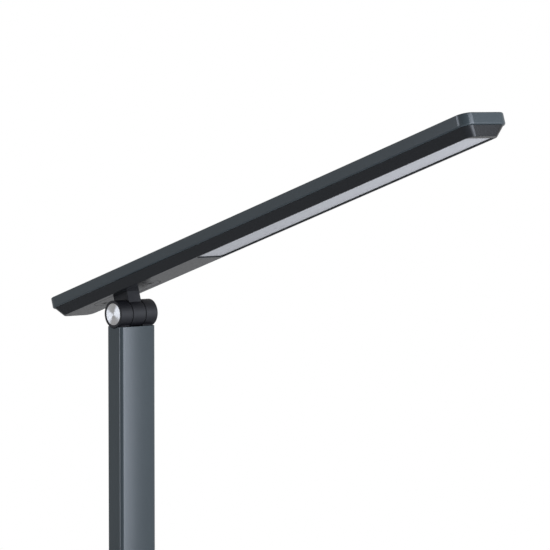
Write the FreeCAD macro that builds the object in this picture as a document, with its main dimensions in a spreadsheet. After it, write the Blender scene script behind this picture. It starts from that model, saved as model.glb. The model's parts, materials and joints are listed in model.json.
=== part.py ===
import FreeCAD, Part

# A bedside lamp: a slim LED bar that folds on a flat stem, which tilts on a weighted base.
# Millimetres and degrees. +X is the way the bar points, Y lies along both hinge axes, +Z is up.
# The origin is the middle of the foot pad's resting face.
import math
import os
import re

import Sketcher

# Driving sizes, one cell each
SIZES = {
    # The bar's pose at rest, in degrees above level
    "head_tilt": 18.0,
    # The bar's outline, with the hinge axis as its own origin
    "head_length": 400.0,
    "head_rear": 60.0,
    "underside_gap": 13.1,
    "underside_width": 24.3,
    "underside_end": 4.3,
    "housing_drop": 5.9,
    "underside_corner": 5.0,
    "cover_width": 35.6,
    "cover_side": 7.1,
    "cover_corner": 7.0,
    "cover_lip": 1.3,
    "cover_edge": 0.6,
    # Walls and fits of the bar's two shells
    "cover_wall": 1.6,
    "cover_top": 1.8,
    "rim_gap": 0.3,
    "rim_fit": 0.15,
    "head_floor": 3.5,
    "cavity_step": 0.9,
    "cavity_end": 7.0,
    # The window in the underside and the panel in it
    "window_start": 85.0,
    "window_margin": 8.5,
    "window_rim": 1.3,
    "window_corner": 1.5,
    "window_recess": 0.8,
    "ledge_width": 1.2,
    "panel_thickness": 1.5,
    "panel_fit": 0.1,
    # The light source behind the panel
    "reflector_wall": 1.6,
    "reflector_gap": 0.3,
    "reflector_fit": 0.1,
    "spreader_thickness": 2.0,
    "spreader_margin": 3.0,
    "led_board_thickness": 1.2,
    "led_board_room": 2.9,
    "led_board_tail": 9.0,
    "chip_length": 3.5,
    "chip_width": 2.8,
    "chip_height": 0.7,
    # The neck between the bar and its hinge
    "neck_depth": 14.4,
    "neck_setback": 1.0,
    "plate_length": 60.0,
    "plate_width": 15.0,
    "plate_land": 0.25,
    "plate_fit": 0.25,
    "plate_screw_inset": 6.0,
    "backplate_margin": 5.0,
    "backplate_lap": 1.0,
    # Both barrel hinges
    "barrel_radius": 8.7,
    "barrel_length": 29.9,
    "barrel_bevel": 0.25,
    "knuckle_width": 10.1,
    "knuckle_room": 0.4,
    "washer_thickness": 0.5,
    "washer_play": 0.05,
    "washer_inset": 0.6,
    "axle_radius": 3.0,
    "axle_fit": 0.05,
    "axle_head_radius": 4.5,
    "axle_head_thickness": 1.8,
    "axle_tail": 0.3,
    "axle_bore_radius": 1.5,
    "recess_step": 0.8,
    "recess_room": 0.1,
    "spring_room": 0.8,
    "spring_thickness": 0.5,
    "spring_dish": 0.3,
    "nut_room": 1.0,
    "nut_thickness": 2.0,
    "cap_ring": 1.7,
    "cap_fit": 0.05,
    "cap_thickness": 1.2,
    "cap_bevel": 0.25,
    "cap_inset": 0.2,
    # The stem
    "stem_length": 344.0,
    "stem_depth": 16.0,
    "stem_step": 0.7,
    "stem_corner": 2.4,
    "stem_wall": 1.4,
    "stem_end": 7.9,
    "saddle_gap": 0.35,
    "plug_length": 20.0,
    "leg_depth": 10.0,
    "plug_fit": 0.1,
    "plug_screw_spread": 6.0,
    # The base's outline
    "base_length": 190.0,
    "base_width": 110.0,
    "base_corner": 14.0,
    "base_edge": 1.0,
    "base_drop": 7.0,
    "base_lip": 1.5,
    "base_inset": 6.0,
    "base_wall": 2.2,
    "base_rim": 2.5,
    "base_rim_fit": 0.2,
    "base_floor": 2.8,
    "base_cavity_inset": 7.0,
    "stem_setback": 37.0,
    "hinge_clearance": 0.9,
    "opening_gap": 0.4,
    "foot_thickness": 2.0,
    "foot_seat": 0.8,
    "foot_margin": 5.0,
    "foot_fit": 0.2,
    # The weight and the bracket on it
    "ballast_gap": 0.4,
    "ballast_corner": 4.0,
    "ballast_heel": 1.0,
    "bracket_toe": 7.3,
    "bracket_side": 2.05,
    "bracket_thickness": 3.5,
    "bracket_room": 1.5,
    "bracket_screw_inset": 3.7,
    "bracket_screw_spread": 5.0,
    # Fasteners
    "screw_radius": 1.25,
    "screw_head_radius": 2.5,
    "screw_fit": 0.08,
    "screw_slot_length": 2.8,
    "screw_slot_width": 0.6,
    "screw_slot_depth": 0.7,
    "stem_screw_length": 6.5,
    "bracket_screw_length": 9.0,
    "base_screw_length": 9.0,
    "board_screw_length": 4.5,
    "boss_radius": 3.6,
    "boss_inset": 16.0,
    # The control board with its switch and button
    "board_length": 44.0,
    "board_thickness": 1.6,
    "board_margin": 3.0,
    "board_gap": 4.0,
    "board_side_gap": 2.4,
    "post_height": 4.0,
    "post_radius": 2.8,
    "post_inset": 4.0,
    "switch_width": 6.0,
    "switch_height": 3.4,
    "switch_bore_depth": 2.6,
    "plunger_radius": 1.7,
    "plunger_fit": 0.1,
    "plunger_depth": 1.5,
    "plunger_proud": 1.5,
    "button_radius": 7.0,
    "button_gap": 0.3,
    "button_proud": 0.6,
    "button_bevel": 0.4,
    "button_flange": 1.4,
    "button_flange_thickness": 1.0,
    "button_play": 0.2,
    "button_post_radius": 2.4,
    # The power inlet
    "jack_length": 12.0,
    "jack_width": 9.0,
    "jack_height": 7.0,
    "jack_room": 0.3,
    "jack_step": 2.0,
    "jack_shoulder": 0.1,
    "jack_fit": 0.1,
    "jack_inset": 0.3,
    "jack_bore_radius": 2.8,
    "jack_bore_depth": 9.5,
    "jack_pin_radius": 1.05,
    "jack_pin_length": 8.0,
    "jack_pin_nose": 0.5,
    # Leads held inside the lamp
    "lead_radius": 1.0,
    "lead_fit": 0.3,
    "lead_lift": 0.35,
    "lead_step": 0.15,
    "lead_bend": 2.0,
    "stem_lead_bend": 60.0,
    "stem_lead_run": 60.0,
    "stem_lead_shift": 70.0,
    "lead_end_gap": 0.4,
    # How far every cutting shape runs past what it cuts
    "overrun": 1.0,
}

# Sizes and places that follow from the driving ones
PLACES = {
    "screw_head_height": "screw_head_radius - screw_radius",
    # Hinge parts along the axis, from its middle
    "ear_inner": "knuckle_width / 2 + washer_thickness",
    "ear_outer": "barrel_length / 2",
    "ear_width": "ear_outer - ear_inner",
    "cap_seat": "ear_outer - cap_inset - cap_thickness",
    "spring_stack": "2 * (spring_thickness + spring_dish)",
    "axle_end": "cap_seat - recess_room",
    "nut_seat": "axle_end - axle_tail - nut_thickness",
    "recess_floor": "nut_seat - spring_stack",
    "recess_depth": "ear_outer - recess_floor",
    "lead_offset": "recess_floor + lead_radius + lead_fit + lead_step",
    # Hinge parts across the axis
    "cap_radius": "barrel_radius - cap_ring",
    "recess_radius": "cap_radius - recess_step",
    "spring_radius": "recess_radius - spring_room",
    "nut_radius": "recess_radius - nut_room",
    "washer_radius": "barrel_radius - washer_inset",
    # The bracket on the weight
    "bracket_length": "2 * (barrel_radius + bracket_toe)",
    "bracket_width": "barrel_length + 2 * bracket_side",
    "bracket_screw_reach": "bracket_length / 2 - bracket_screw_inset",
    # Heights above the resting face
    "base_under": "foot_thickness - foot_seat",
    "base_deck": "base_under + base_floor",
    "base_seam": "base_under + base_drop",
    "base_rim_top": "base_seam + base_rim",
    "base_ceiling": "base_rim_top + jack_height + jack_room",
    "base_top": "base_ceiling + base_wall",
    "base_side": "base_top - base_seam",
    "ballast_top": "base_ceiling - bracket_room - bracket_thickness",
    "ballast_thickness": "ballast_top - base_deck",
    "lower_axis": "base_top + barrel_radius + hinge_clearance",
    "hinge_spacing": "stem_length + 2 * stem_end",
    "upper_axis": "lower_axis + hinge_spacing",
    "axis_over_ballast": "lower_axis - ballast_top",
    # Places along and across the base
    "stem_place": "stem_setback - base_length / 2",
    "boss_reach": "base_length / 2 - boss_inset",
    "boss_spread": "base_width / 2 - boss_inset",
    "board_middle": "base_length / 2 - base_cavity_inset - board_margin - board_length / 2",
    "board_width": "2 * (boss_spread - boss_radius - board_side_gap)",
    "ballast_rear": "stem_place - bracket_length / 2 - ballast_heel",
    "ballast_length": "board_middle - board_length / 2 - board_gap - ballast_rear",
    "ballast_width": "2 * (boss_spread - boss_radius - ballast_gap)",
    "ballast_middle": "ballast_rear + ballast_length / 2",
    "post_reach": "board_length / 2 - post_inset",
    "post_spread": "board_width / 2 - post_inset",
    "board_bottom": "base_deck + post_height",
    "board_top": "board_bottom + board_thickness",
    "switch_top": "board_top + switch_height",
    "plunger_top": "switch_top + plunger_proud",
    "button_top": "base_top + button_proud",
    "flange_top": "base_ceiling - button_play",
    "jack_offset": "bracket_width / 2 + lead_radius + jack_step",
    "jack_axis": "base_rim_top + jack_height / 2",
    "jack_face": "base_wall - base_length / 2",
    "jack_nose_radius": "jack_height / 2 - jack_shoulder",
    # The stem and the plugs in its ends
    "stem_width": "barrel_length - 2 * stem_step",
    "plug_start": "barrel_radius + knuckle_room",
    "plug_depth": "stem_depth - 2 * stem_wall - 2 * plug_fit",
    "plug_width": "stem_width - 2 * stem_wall - 2 * plug_fit",
    "plug_screw_drop": "plug_start + plug_length / 2",
    # Heights in the bar, from the hinge axis
    "head_deck": "underside_gap + head_floor",
    "cover_seam": "underside_gap + housing_drop",
    "cover_crown": "cover_seam + cover_side",
    "head_ceiling": "cover_crown - cover_top",
    "spreader_bottom": "head_ceiling - spreader_thickness",
    "rim_top": "spreader_bottom - rim_gap",
    "rim_height": "rim_top - cover_seam",
    "led_board_bottom": "spreader_bottom - led_board_thickness",
    "chip_bottom": "led_board_bottom - chip_height",
    "reflector_height": "led_board_bottom - reflector_gap - head_deck",
    "window_depth": "window_recess + panel_thickness",
    "plate_thickness": "screw_head_height + plate_land",
    "backplate_thickness": "led_board_bottom - head_deck - 2 * (lead_radius + lead_lift)",
    # Places along and across the bar
    "head_middle": "head_length / 2 - head_rear",
    "window_length": "head_length - head_rear - window_start - window_margin",
    "window_width": "underside_width - 2 * window_rim",
    "window_middle": "window_start + window_length / 2",
    "cavity_width": "underside_width + cavity_step",
    "led_board_width": "cavity_width - 2 * (reflector_fit + reflector_wall + led_board_room)",
    "led_board_start": "window_start - led_board_tail",
    "plate_screw_spread": "plate_length / 2 - plate_screw_inset",
    "backplate_length": "2 * (plate_screw_spread + backplate_margin)",
    "backplate_width": "plate_width + 2 * backplate_lap",
}
CHIP_COUNT = 24
NUT_SIDES = 6
# Two heights or points closer than this count as the same
TOUCH = 0.001
# A swept lead's volume may differ this much from its section times its length
VOLUME_SHARE = 0.01

doc = FreeCAD.newDocument("BedsideLamp")
sheet = doc.addObject("Spreadsheet::Sheet", "Sizes")
places = doc.addObject("Spreadsheet::Sheet", "Places")


def sized(text):
    """Return the expression with each alias led by the sheet that holds it."""
    def lead(word):
        owner = "Sizes." if word.group() in SIZES else "Places."
        return owner + word.group()
    return re.sub("[a-z_]+", lead, text)


def fill(target, row, alias, content):
    """Write one named cell."""
    target.set(f"A{row}", alias)
    target.set(f"B{row}", content)
    target.setAlias(f"B{row}", alias)


for row, (alias, number) in enumerate(SIZES.items(), start=1):
    fill(sheet, row, alias, str(number))
doc.recompute()
for row, (alias, formula) in enumerate(PLACES.items(), start=1):
    fill(places, row, alias, "=" + sized(formula))
    doc.recompute()


def size(alias):
    """Read one size or place as a number."""
    owner = sheet if alias in SIZES else places
    return float(owner.get(alias))


# Directions that a round solid's own +Z can be turned to
UP = FreeCAD.Rotation()
DOWN = FreeCAD.Rotation(FreeCAD.Vector(1, 0, 0), 180)
ALONG_Y = FreeCAD.Rotation(FreeCAD.Vector(1, 0, 0), -90)
AGAINST_Y = FreeCAD.Rotation(FreeCAD.Vector(1, 0, 0), 90)
ALONG_X = FreeCAD.Rotation(FreeCAD.Vector(0, 1, 0), 90)

# Where each frame's origin lies; the bar's frame is also turned by its tilt
FRAMES = {
    "base": ("0", "0", "0"),
    "lower": ("stem_place", "0", "lower_axis"),
    "upper": ("stem_place", "0", "upper_axis"),
    "head": ("stem_place", "0", "upper_axis"),
}
PIECES = []


def bind(item, at, rotation, sizes):
    """Bind an object's place and sizes to the sheets."""
    item.Placement = FreeCAD.Placement(FreeCAD.Vector(), rotation)
    for axis, text in zip("xyz", at):
        item.setExpression("Placement.Base." + axis, sized(text))
    for name, text in sizes.items():
        item.setExpression(name, sized(text))
    return item


def piece(item, label, frame):
    """Name a finished sub-part, and set it in its frame."""
    item.Label = label
    rotation = UP
    if frame == "head":
        rotation = FreeCAD.Rotation(FreeCAD.Vector(0, -1, 0), size("head_tilt"))
    bind(item, FRAMES[frame], rotation, {})
    if frame == "head":
        item.setExpression("Placement.Rotation.Angle", sized("head_tilt"))
    PIECES.append(item)
    return item


def box(at, length, width, height):
    """A block whose middle is at x and y, and whose bottom is at z."""
    x, y, z = at
    corner = (f"{x} - ({length}) / 2", f"{y} - ({width}) / 2", z)
    item = doc.addObject("Part::Box", "Block")
    return bind(item, corner, UP, {"Length": length, "Width": width, "Height": height})


def cylinder(at, radius, height, rotation=UP):
    item = doc.addObject("Part::Cylinder", "Round")
    return bind(item, at, rotation, {"Radius": radius, "Height": height})


def cone(at, start_radius, end_radius, height, rotation=UP):
    item = doc.addObject("Part::Cone", "Taper")
    sizes = {"Radius1": start_radius, "Radius2": end_radius, "Height": height}
    return bind(item, at, rotation, sizes)


def join(*solids):
    item = doc.addObject("Part::MultiFuse", "Joined")
    item.Shapes = list(solids)
    return item


def cut(base, *tools):
    item = doc.addObject("Part::Cut", "Trimmed")
    item.Base = base
    item.Tool = tools[0] if len(tools) == 1 else join(*tools)
    return item


def drum(start, width):
    """A knuckle of the barrel along Y from y = start, with bevelled ends."""
    lean = "barrel_radius - barrel_bevel"
    near = cone(("0", start, "0"), lean, "barrel_radius", "barrel_bevel", ALONG_Y)
    middle_start = f"{start} + barrel_bevel"
    middle = cylinder(("0", middle_start, "0"), "barrel_radius", f"{width} - 2 * barrel_bevel", ALONG_Y)
    far_start = f"{start} + {width} - barrel_bevel"
    far = cone(("0", far_start, "0"), "barrel_radius", lean, "barrel_bevel", ALONG_Y)
    return join(near, middle, far)


def screw(at, length, rotation=UP, grow="0"):
    """A countersunk screw from its head's face to its tip, or its hole where grow is a fit."""
    head = cone(at, f"screw_head_radius + {grow}", f"screw_radius + {grow}", "screw_head_height", rotation)
    shank = cylinder(at, f"screw_radius + {grow}", length, rotation)
    return join(head, shank)


def screws(spots, length, rotation=UP):
    """Cross-slotted countersunk screws, as one group of separate solids."""
    bodies = [screw(at, length, rotation) for at in spots]
    slots = []
    for x, y, z in spots:
        sink = {"x": x, "y": y, "z": z}
        for long_way in ("y", "z") if rotation == ALONG_X else ("x", "y"):
            spans = {axis: "screw_slot_width" for axis in "xyz"}
            spans["x" if rotation == ALONG_X else "z"] = "2 * screw_slot_depth"
            spans[long_way] = "screw_slot_length"
            bottom = f"{sink['z']} - ({spans['z']}) / 2"
            slots.append(box((sink["x"], sink["y"], bottom), spans["x"], spans["y"], spans["z"]))
    return cut(join(*bodies), *slots)


def sketch_on(body, at):
    """An empty sketch on the body's own XY plane, shifted to x, y and z."""
    sketch = body.newObject("Sketcher::SketchObject", "Sketch")
    plane = next(item for item in body.Origin.OriginFeatures if item.Role == "XY_Plane")
    sketch.AttachmentSupport = [(plane, "")]
    sketch.MapMode = "FlatFace"
    for axis, text in zip("xyz", at):
        sketch.setExpression("AttachmentOffset.Base." + axis, sized(text))
    return sketch


def spanned(sketch, spans):
    """Bind named distances between two lines' first points to the sheets."""
    for name, kind, first, second, text in spans:
        datum = sketch.addConstraint(Sketcher.Constraint(kind, first, 1, second, 1, 2.0))
        sketch.renameConstraint(datum, name)
        sketch.setExpression("Constraints." + name, sized(text))


def rectangle(body, at, length, width):
    """A rectangle centred on x and y, at height z."""
    sketch = sketch_on(body, at)
    ends = [FreeCAD.Vector(x, y, 0) for x, y in ((-1, -1), (1, -1), (1, 1), (-1, 1))]
    sides = len(ends)
    for index in range(sides):
        sketch.addGeometry(Part.LineSegment(ends[index], ends[(index + 1) % sides]), False)
    for index in range(sides):
        sketch.addConstraint(Sketcher.Constraint("Coincident", index, 2, (index + 1) % sides, 1))
        sketch.addConstraint(Sketcher.Constraint("Vertical" if index % 2 else "Horizontal", index))
    sketch.addConstraint(Sketcher.Constraint("Symmetric", 0, 1, 2, 1, -1, 1))
    spanned(sketch, (("wide", "DistanceY", 0, 2, width), ("long", "DistanceX", 3, 1, length)))
    return sketch


def rounded_rectangle(body, at, length, width, corner):
    """A rectangle with round corners, drawn as a unit square that its datums then stretch."""
    sketch = sketch_on(body, at)
    axis = FreeCAD.Vector(0, 0, 1)
    flat_share = 0.5
    sides = 4
    for index in range(sides):
        turn = FreeCAD.Rotation(axis, 90 * index)
        start, end = (turn.multVec(FreeCAD.Vector(x * flat_share, -1, 0)) for x in (-1, 1))
        centre = turn.multVec(FreeCAD.Vector(flat_share, -flat_share, 0))
        sketch.addGeometry(Part.LineSegment(start, end), False)
        round_corner = Part.Circle(centre, axis, 1 - flat_share)
        angle = math.radians(90 * (index - 1))
        sketch.addGeometry(Part.ArcOfCircle(round_corner, angle, angle + math.radians(90)), False)
    for index in range(sides):
        line = 2 * index
        arc = line + 1
        sketch.addConstraint(Sketcher.Constraint("Tangent", line, 2, arc, 1))
        sketch.addConstraint(Sketcher.Constraint("Tangent", arc, 2, (arc + 1) % (2 * sides), 1))
        sketch.addConstraint(Sketcher.Constraint("Vertical" if index % 2 else "Horizontal", line))
        if index:
            sketch.addConstraint(Sketcher.Constraint("Equal", 1, arc))
    sketch.addConstraint(Sketcher.Constraint("Symmetric", 1, 3, 5, 3, -1, 1))
    datum = sketch.addConstraint(Sketcher.Constraint("Radius", 1, 1 - flat_share))
    sketch.renameConstraint(datum, "corner")
    spanned(sketch, (("wide", "DistanceY", 0, 4, width), ("long", "DistanceX", 6, 2, length)))
    sketch.setExpression("Constraints.corner", sized(corner))
    return sketch


def grown(body, kind, sketch, depth, reverse=False):
    """A Pad or Pocket of a sketch."""
    item = body.newObject("PartDesign::" + kind, kind)
    item.Profile = sketch
    item.Reversed = reverse
    item.setExpression("Length", sized(depth))
    doc.recompute()
    return item


def pad(body, sketch, height):
    """A block upwards from a sketch."""
    return grown(body, "Pad", sketch, height)


def pocket_up(body, sketch, depth):
    """A hollow cut upwards from a sketch."""
    return grown(body, "Pocket", sketch, depth, reverse=True)


def pocket_down(body, sketch, depth):
    """A hollow cut downwards from a sketch."""
    return grown(body, "Pocket", sketch, depth)


def loft(body, low, high):
    """A straight-sided block between two rectangles."""
    item = body.newObject("PartDesign::AdditiveLoft", "Slope")
    item.Profile = low
    item.Sections = [high]
    item.Ruled = True
    doc.recompute()
    return item


def edges_at(feature, height):
    """Names of the edges that lie at one height."""
    names = []
    for index, edge in enumerate(feature.Shape.Edges, start=1):
        if all(abs(vertex.Z - height) < TOUCH for vertex in edge.Vertexes):
            names.append(f"Edge{index}")
    return names


def rounded(body, feature, edges, radius):
    """Round some edges of the body's last feature."""
    item = body.newObject("PartDesign::Fillet", "Fillet")
    item.Base = (feature, edges)
    item.setExpression("Radius", sized(radius))
    doc.recompute()
    return item


def shaped(body, kind, at, rotation, sizes):
    """A round or square feature of a body, such as a hole or a boss."""
    item = bind(body.newObject("PartDesign::" + kind, kind), at, rotation, sizes)
    doc.recompute()
    return item


def drilled(body, at, radius, height, rotation=UP):
    return shaped(body, "SubtractiveCylinder", at, rotation, {"Radius": radius, "Height": height})


def raised(body, at, radius, height):
    return shaped(body, "AdditiveCylinder", at, UP, {"Radius": radius, "Height": height})


def screwed(body, at, length, rotation=UP):
    """A countersunk screw hole in a body."""
    drilled(body, at, "screw_radius + screw_fit", length, rotation)
    sizes = {
        "Radius1": "screw_head_radius + screw_fit",
        "Radius2": "screw_radius + screw_fit",
        "Height": "screw_head_height",
    }
    return shaped(body, "SubtractiveCone", at, rotation, sizes)


def lead(label, frame, points, bend):
    """A round lead along straight runs that are joined by tangent arcs of one radius."""
    edges = []
    start = points[0]
    for before, corner, after in zip(points, points[1:], points[2:]):
        back = (before - corner).normalize()
        ahead = (after - corner).normalize()
        half_turn = back.getAngle(ahead) / 2
        middle = (back + ahead).normalize()
        reach = bend / math.tan(half_turn)
        centre = corner + middle * math.hypot(bend, reach)
        edges.append(Part.LineSegment(start, corner + back * reach).toShape())
        arc_middle = centre - middle * bend
        edges.append(Part.Arc(corner + back * reach, arc_middle, corner + ahead * reach).toShape())
        start = corner + ahead * reach
    edges.append(Part.LineSegment(start, points[-1]).toShape())
    path = Part.Wire(edges)
    heading = points[1] - points[0]
    section = Part.Wire(Part.Circle(points[0], heading, size("lead_radius")).toShape())
    solid = path.makePipeShell([section], True, False)
    expected = Part.Face(section).Area * path.Length
    if abs(solid.Volume - expected) > VOLUME_SHARE * expected:
        raise RuntimeError(f"{label} is not swept whole")
    item = doc.addObject("Part::Feature", label)
    item.Shape = solid
    return piece(item, label, frame)


# Bar: top cover, a shell open below
cover = doc.addObject("PartDesign::Body", "head_cover")
cover_at = ("head_middle", "0", "cover_seam")
shell = pad(cover, rounded_rectangle(cover, cover_at, "head_length", "cover_width", "cover_corner"),
            "cover_side")
rounded(cover, shell, edges_at(shell, size("cover_crown")), "cover_edge")
pocket_up(cover, rounded_rectangle(cover, cover_at, "head_length - 2 * cover_wall",
                                   "cover_width - 2 * cover_wall", "cover_corner - cover_wall"),
          "cover_side - cover_top")
piece(cover, "head_cover", "head")

# Bar: lower housing, with sloped sides, a rim inside the cover, and a stepped window for the panel
housing = doc.addObject("PartDesign::Body", "head_housing")
underside_at = ("head_middle", "0", "underside_gap")
loft(housing, rounded_rectangle(housing, underside_at, "head_length - 2 * underside_end",
                                "underside_width", "underside_corner"),
     rounded_rectangle(housing, cover_at, "head_length - 2 * cover_lip", "cover_width - 2 * cover_lip",
                       "cover_corner - cover_lip"))
pad(housing, rounded_rectangle(housing, cover_at, "head_length - 2 * (cover_wall + rim_fit)",
                               "cover_width - 2 * (cover_wall + rim_fit)",
                               "cover_corner - cover_wall - rim_fit"), "rim_height")
pocket_down(housing, rectangle(housing, ("head_middle", "0", "rim_top"), "head_length - 2 * cavity_end",
                               "cavity_width"), "rim_top - head_deck")
window_at = ("window_middle", "0", "underside_gap")
pocket_up(housing, rounded_rectangle(housing, window_at, "window_length", "window_width", "window_corner"),
          "window_depth")
pocket_up(housing, rectangle(housing, window_at, "window_length - 2 * ledge_width",
                             "window_width - 2 * ledge_width"), "head_floor + overrun")
plate_run = "plate_length - plate_width"
pocket_up(housing, rectangle(housing, ("0", "0", "underside_gap"), plate_run, "plate_width + 2 * plate_fit"),
          "plate_thickness")
for side in ("", "-"):
    drilled(housing, (f"{side}({plate_run}) / 2", "0", "underside_gap"), "plate_width / 2 + plate_fit",
            "plate_thickness")
    drilled(housing, (f"{side}plate_screw_spread", "0", "underside_gap"), "screw_radius + screw_fit",
            "head_floor + overrun")
drilled(housing, ("0", "0", "underside_gap"), "lead_radius + lead_fit", "head_floor + overrun")
piece(housing, "head_housing", "head")

# Bar: diffuser panel in the window's step
panel = doc.addObject("PartDesign::Body", "diffuser_panel")
pad(panel, rounded_rectangle(panel, ("window_middle", "0", "underside_gap + window_recess"),
                             "window_length - 2 * panel_fit", "window_width - 2 * panel_fit",
                             "window_corner - panel_fit"), "panel_thickness")
piece(panel, "diffuser_panel", "head")

# Bar: white reflector frame round the light, on the housing's floor
frame_outer = box(("window_middle", "0", "head_deck"), "window_length + 2 * reflector_fit",
                  "cavity_width - 2 * reflector_fit", "reflector_height")
frame_inner = box(("window_middle", "0", "head_deck - overrun"), "window_length - 2 * reflector_wall",
                  "cavity_width - 2 * reflector_fit - 2 * reflector_wall",
                  "reflector_height + 2 * overrun")
piece(cut(frame_outer, frame_inner), "reflector_frame", "head")

# Bar: aluminium heat spreader under the cover's ceiling, and the board and light chips below it
spreader = doc.addObject("PartDesign::Body", "heat_spreader")
pad(spreader, rectangle(spreader, ("head_middle", "0", "spreader_bottom"),
                        "head_length - 2 * (cover_wall + spreader_margin)",
                        "cover_width - 2 * (cover_wall + spreader_margin)"), "spreader_thickness")
piece(spreader, "heat_spreader", "head")
led_board = doc.addObject("PartDesign::Body", "led_board")
pad(led_board, rectangle(led_board, ("window_middle - led_board_tail / 2", "0", "led_board_bottom"),
                         "window_length + led_board_tail", "led_board_width"), "led_board_thickness")
piece(led_board, "led_board", "head")
chips = []
for index in range(CHIP_COUNT):
    along = f"window_start + window_length * {2 * index + 1} / {2 * CHIP_COUNT}"
    chips.append(box((along, "0", "chip_bottom"), "chip_length", "chip_width", "chip_height"))
piece(join(*chips), "led_chips", "head")

# Bar: neck with the middle knuckle and a flush plate with round ends
plate_screws = [(side, "0", "underside_gap") for side in ("plate_screw_spread", "-plate_screw_spread")]
plate_screw_length = "head_floor + backplate_thickness"
plate_parts = [box(("0", "0", "underside_gap"), plate_run, "plate_width", "plate_thickness")]
for side in ("", "-"):
    end_at = (f"{side}({plate_run}) / 2", "0", "underside_gap")
    plate_parts.append(cylinder(end_at, "plate_width / 2", "plate_thickness"))
neck = box(("-neck_setback", "0", "0"), "neck_depth", "knuckle_width", "underside_gap + plate_thickness")
neck_cuts = [
    cylinder(("0", "-knuckle_width / 2 - overrun", "0"), "axle_radius + axle_fit",
             "knuckle_width + 2 * overrun", ALONG_Y),
    cylinder(("0", "0", "0"), "lead_radius + lead_fit", "head_deck"),
]
neck_cuts += [screw(at, plate_screw_length, UP, "screw_fit") for at in plate_screws]
neck_solid = join(drum("-knuckle_width / 2", "knuckle_width"), neck, *plate_parts)
piece(cut(neck_solid, *neck_cuts), "head_knuckle", "head")

# Bar: steel plate inside, into which the neck's screws go
backplate = box(("0", "0", "head_deck"), "backplate_length", "backplate_width", "backplate_thickness")
backplate_cuts = [cylinder(("0", "0", "head_deck - overrun"), "lead_radius + lead_fit",
                           "backplate_thickness + 2 * overrun")]
for x, y, z in plate_screws:
    backplate_cuts.append(cylinder((x, y, z), "screw_radius + screw_fit", f"{plate_screw_length} + overrun"))
piece(cut(backplate, *backplate_cuts), "hinge_backplate", "head")
piece(screws(plate_screws, plate_screw_length), "hinge_screws", "head")

# Bar: the lead from the neck to the light board's rear end
lead_height = size("led_board_bottom") - size("lead_radius") - size("lead_lift")
lead("head_lead", "head", [
    FreeCAD.Vector(0, 0, size("axle_radius") + size("lead_end_gap")),
    FreeCAD.Vector(0, 0, lead_height),
    FreeCAD.Vector(size("led_board_start") + size("led_board_tail") / 2, 0, lead_height),
], size("lead_bend"))


def ears():
    """The two outer knuckles of a barrel hinge."""
    return [drum("ear_inner", "ear_width"), drum("-ear_outer", "ear_width")]


def ear_cuts():
    """The axle's bore, and in each ear the recess for its hardware and the step for its cap."""
    cuts = [cylinder(("0", "-ear_outer", "0"), "axle_radius + axle_fit", "barrel_length", ALONG_Y)]
    for rotation, side in ((ALONG_Y, ""), (AGAINST_Y, "-")):
        recess_at = ("0", f"{side}recess_floor", "0")
        cuts.append(cylinder(recess_at, "recess_radius", "recess_depth + overrun", rotation))
        cap_at = ("0", f"{side}cap_seat", "0")
        cuts.append(cylinder(cap_at, "cap_radius + cap_fit", "cap_thickness + cap_inset + overrun", rotation))
    return cuts


def disc_spring(at, rotation):
    """A dished washer: a disc raised into a cone above, and hollowed by the same cone below."""
    x, y, z = at
    side = "-" if rotation == AGAINST_Y else "+"
    raised_at = (x, f"{y} {side} spring_thickness", z)
    waist = "axle_radius + axle_fit"
    disc = cylinder(at, "spring_radius", "spring_thickness", rotation)
    crown = cone(raised_at, "spring_radius", waist, "spring_dish", rotation)
    dish = cone(at, "spring_radius", waist, "spring_dish", rotation)
    total = "spring_thickness + spring_dish"
    bore = cylinder(at, waist, total, rotation)
    return cut(join(disc, crown), dish, bore)


def hinge_hardware(name, frame):
    """The axle, nut, springs, washers and caps that hold one barrel hinge together."""
    shaft = cylinder(("0", "-recess_floor", "0"), "axle_radius", "recess_floor + axle_end", ALONG_Y)
    head = cylinder(("0", "-recess_floor", "0"), "axle_head_radius", "axle_head_thickness", AGAINST_Y)
    passage_start = "-recess_floor - axle_head_thickness - overrun"
    passage_end = "knuckle_width / 4"
    passage = cylinder(("0", passage_start, "0"), "axle_bore_radius", f"{passage_end} - ({passage_start})",
                       ALONG_Y)
    notch = box(("0", "0", "0"), "2 * axle_radius + overrun", "2 * axle_bore_radius", "axle_radius + overrun")
    piece(cut(join(shaft, head), passage, notch), name + "_axle", frame)

    hexagon = doc.addObject("Part::Prism", "Hexagon")
    hexagon.Polygon = NUT_SIDES
    bind(hexagon, ("0", "nut_seat", "0"), ALONG_Y, {"Circumradius": "nut_radius", "Height": "nut_thickness"})
    thread = cylinder(("0", "nut_seat", "0"), "axle_radius + axle_fit", "nut_thickness", ALONG_Y)
    piece(cut(hexagon, thread), name + "_axle_nut", frame)

    first = disc_spring(("0", "recess_floor", "0"), ALONG_Y)
    second = disc_spring(("0", "nut_seat", "0"), AGAINST_Y)
    piece(join(first, second), name + "_disc_springs", frame)

    washers = []
    for rotation, side in ((AGAINST_Y, ""), (ALONG_Y, "-")):
        at = ("0", f"{side}ear_inner", "0")
        thickness = "washer_thickness - washer_play"
        ring = cylinder(at, "washer_radius", thickness, rotation)
        washers.append(cut(ring, cylinder(at, "axle_radius + axle_fit", thickness, rotation)))
    piece(join(*washers), name + "_friction_washers", frame)

    for rotation, side, label in ((AGAINST_Y, "-", "_cap_near"), (ALONG_Y, "", "_cap_far")):
        plain = "cap_thickness - cap_bevel"
        disc = cylinder(("0", f"{side}cap_seat", "0"), "cap_radius", plain, rotation)
        edge_at = ("0", f"{side}(cap_seat + {plain})", "0")
        edge = cone(edge_at, "cap_radius", "cap_radius - cap_bevel", "cap_bevel", rotation)
        piece(join(disc, edge), name + label, frame)


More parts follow.
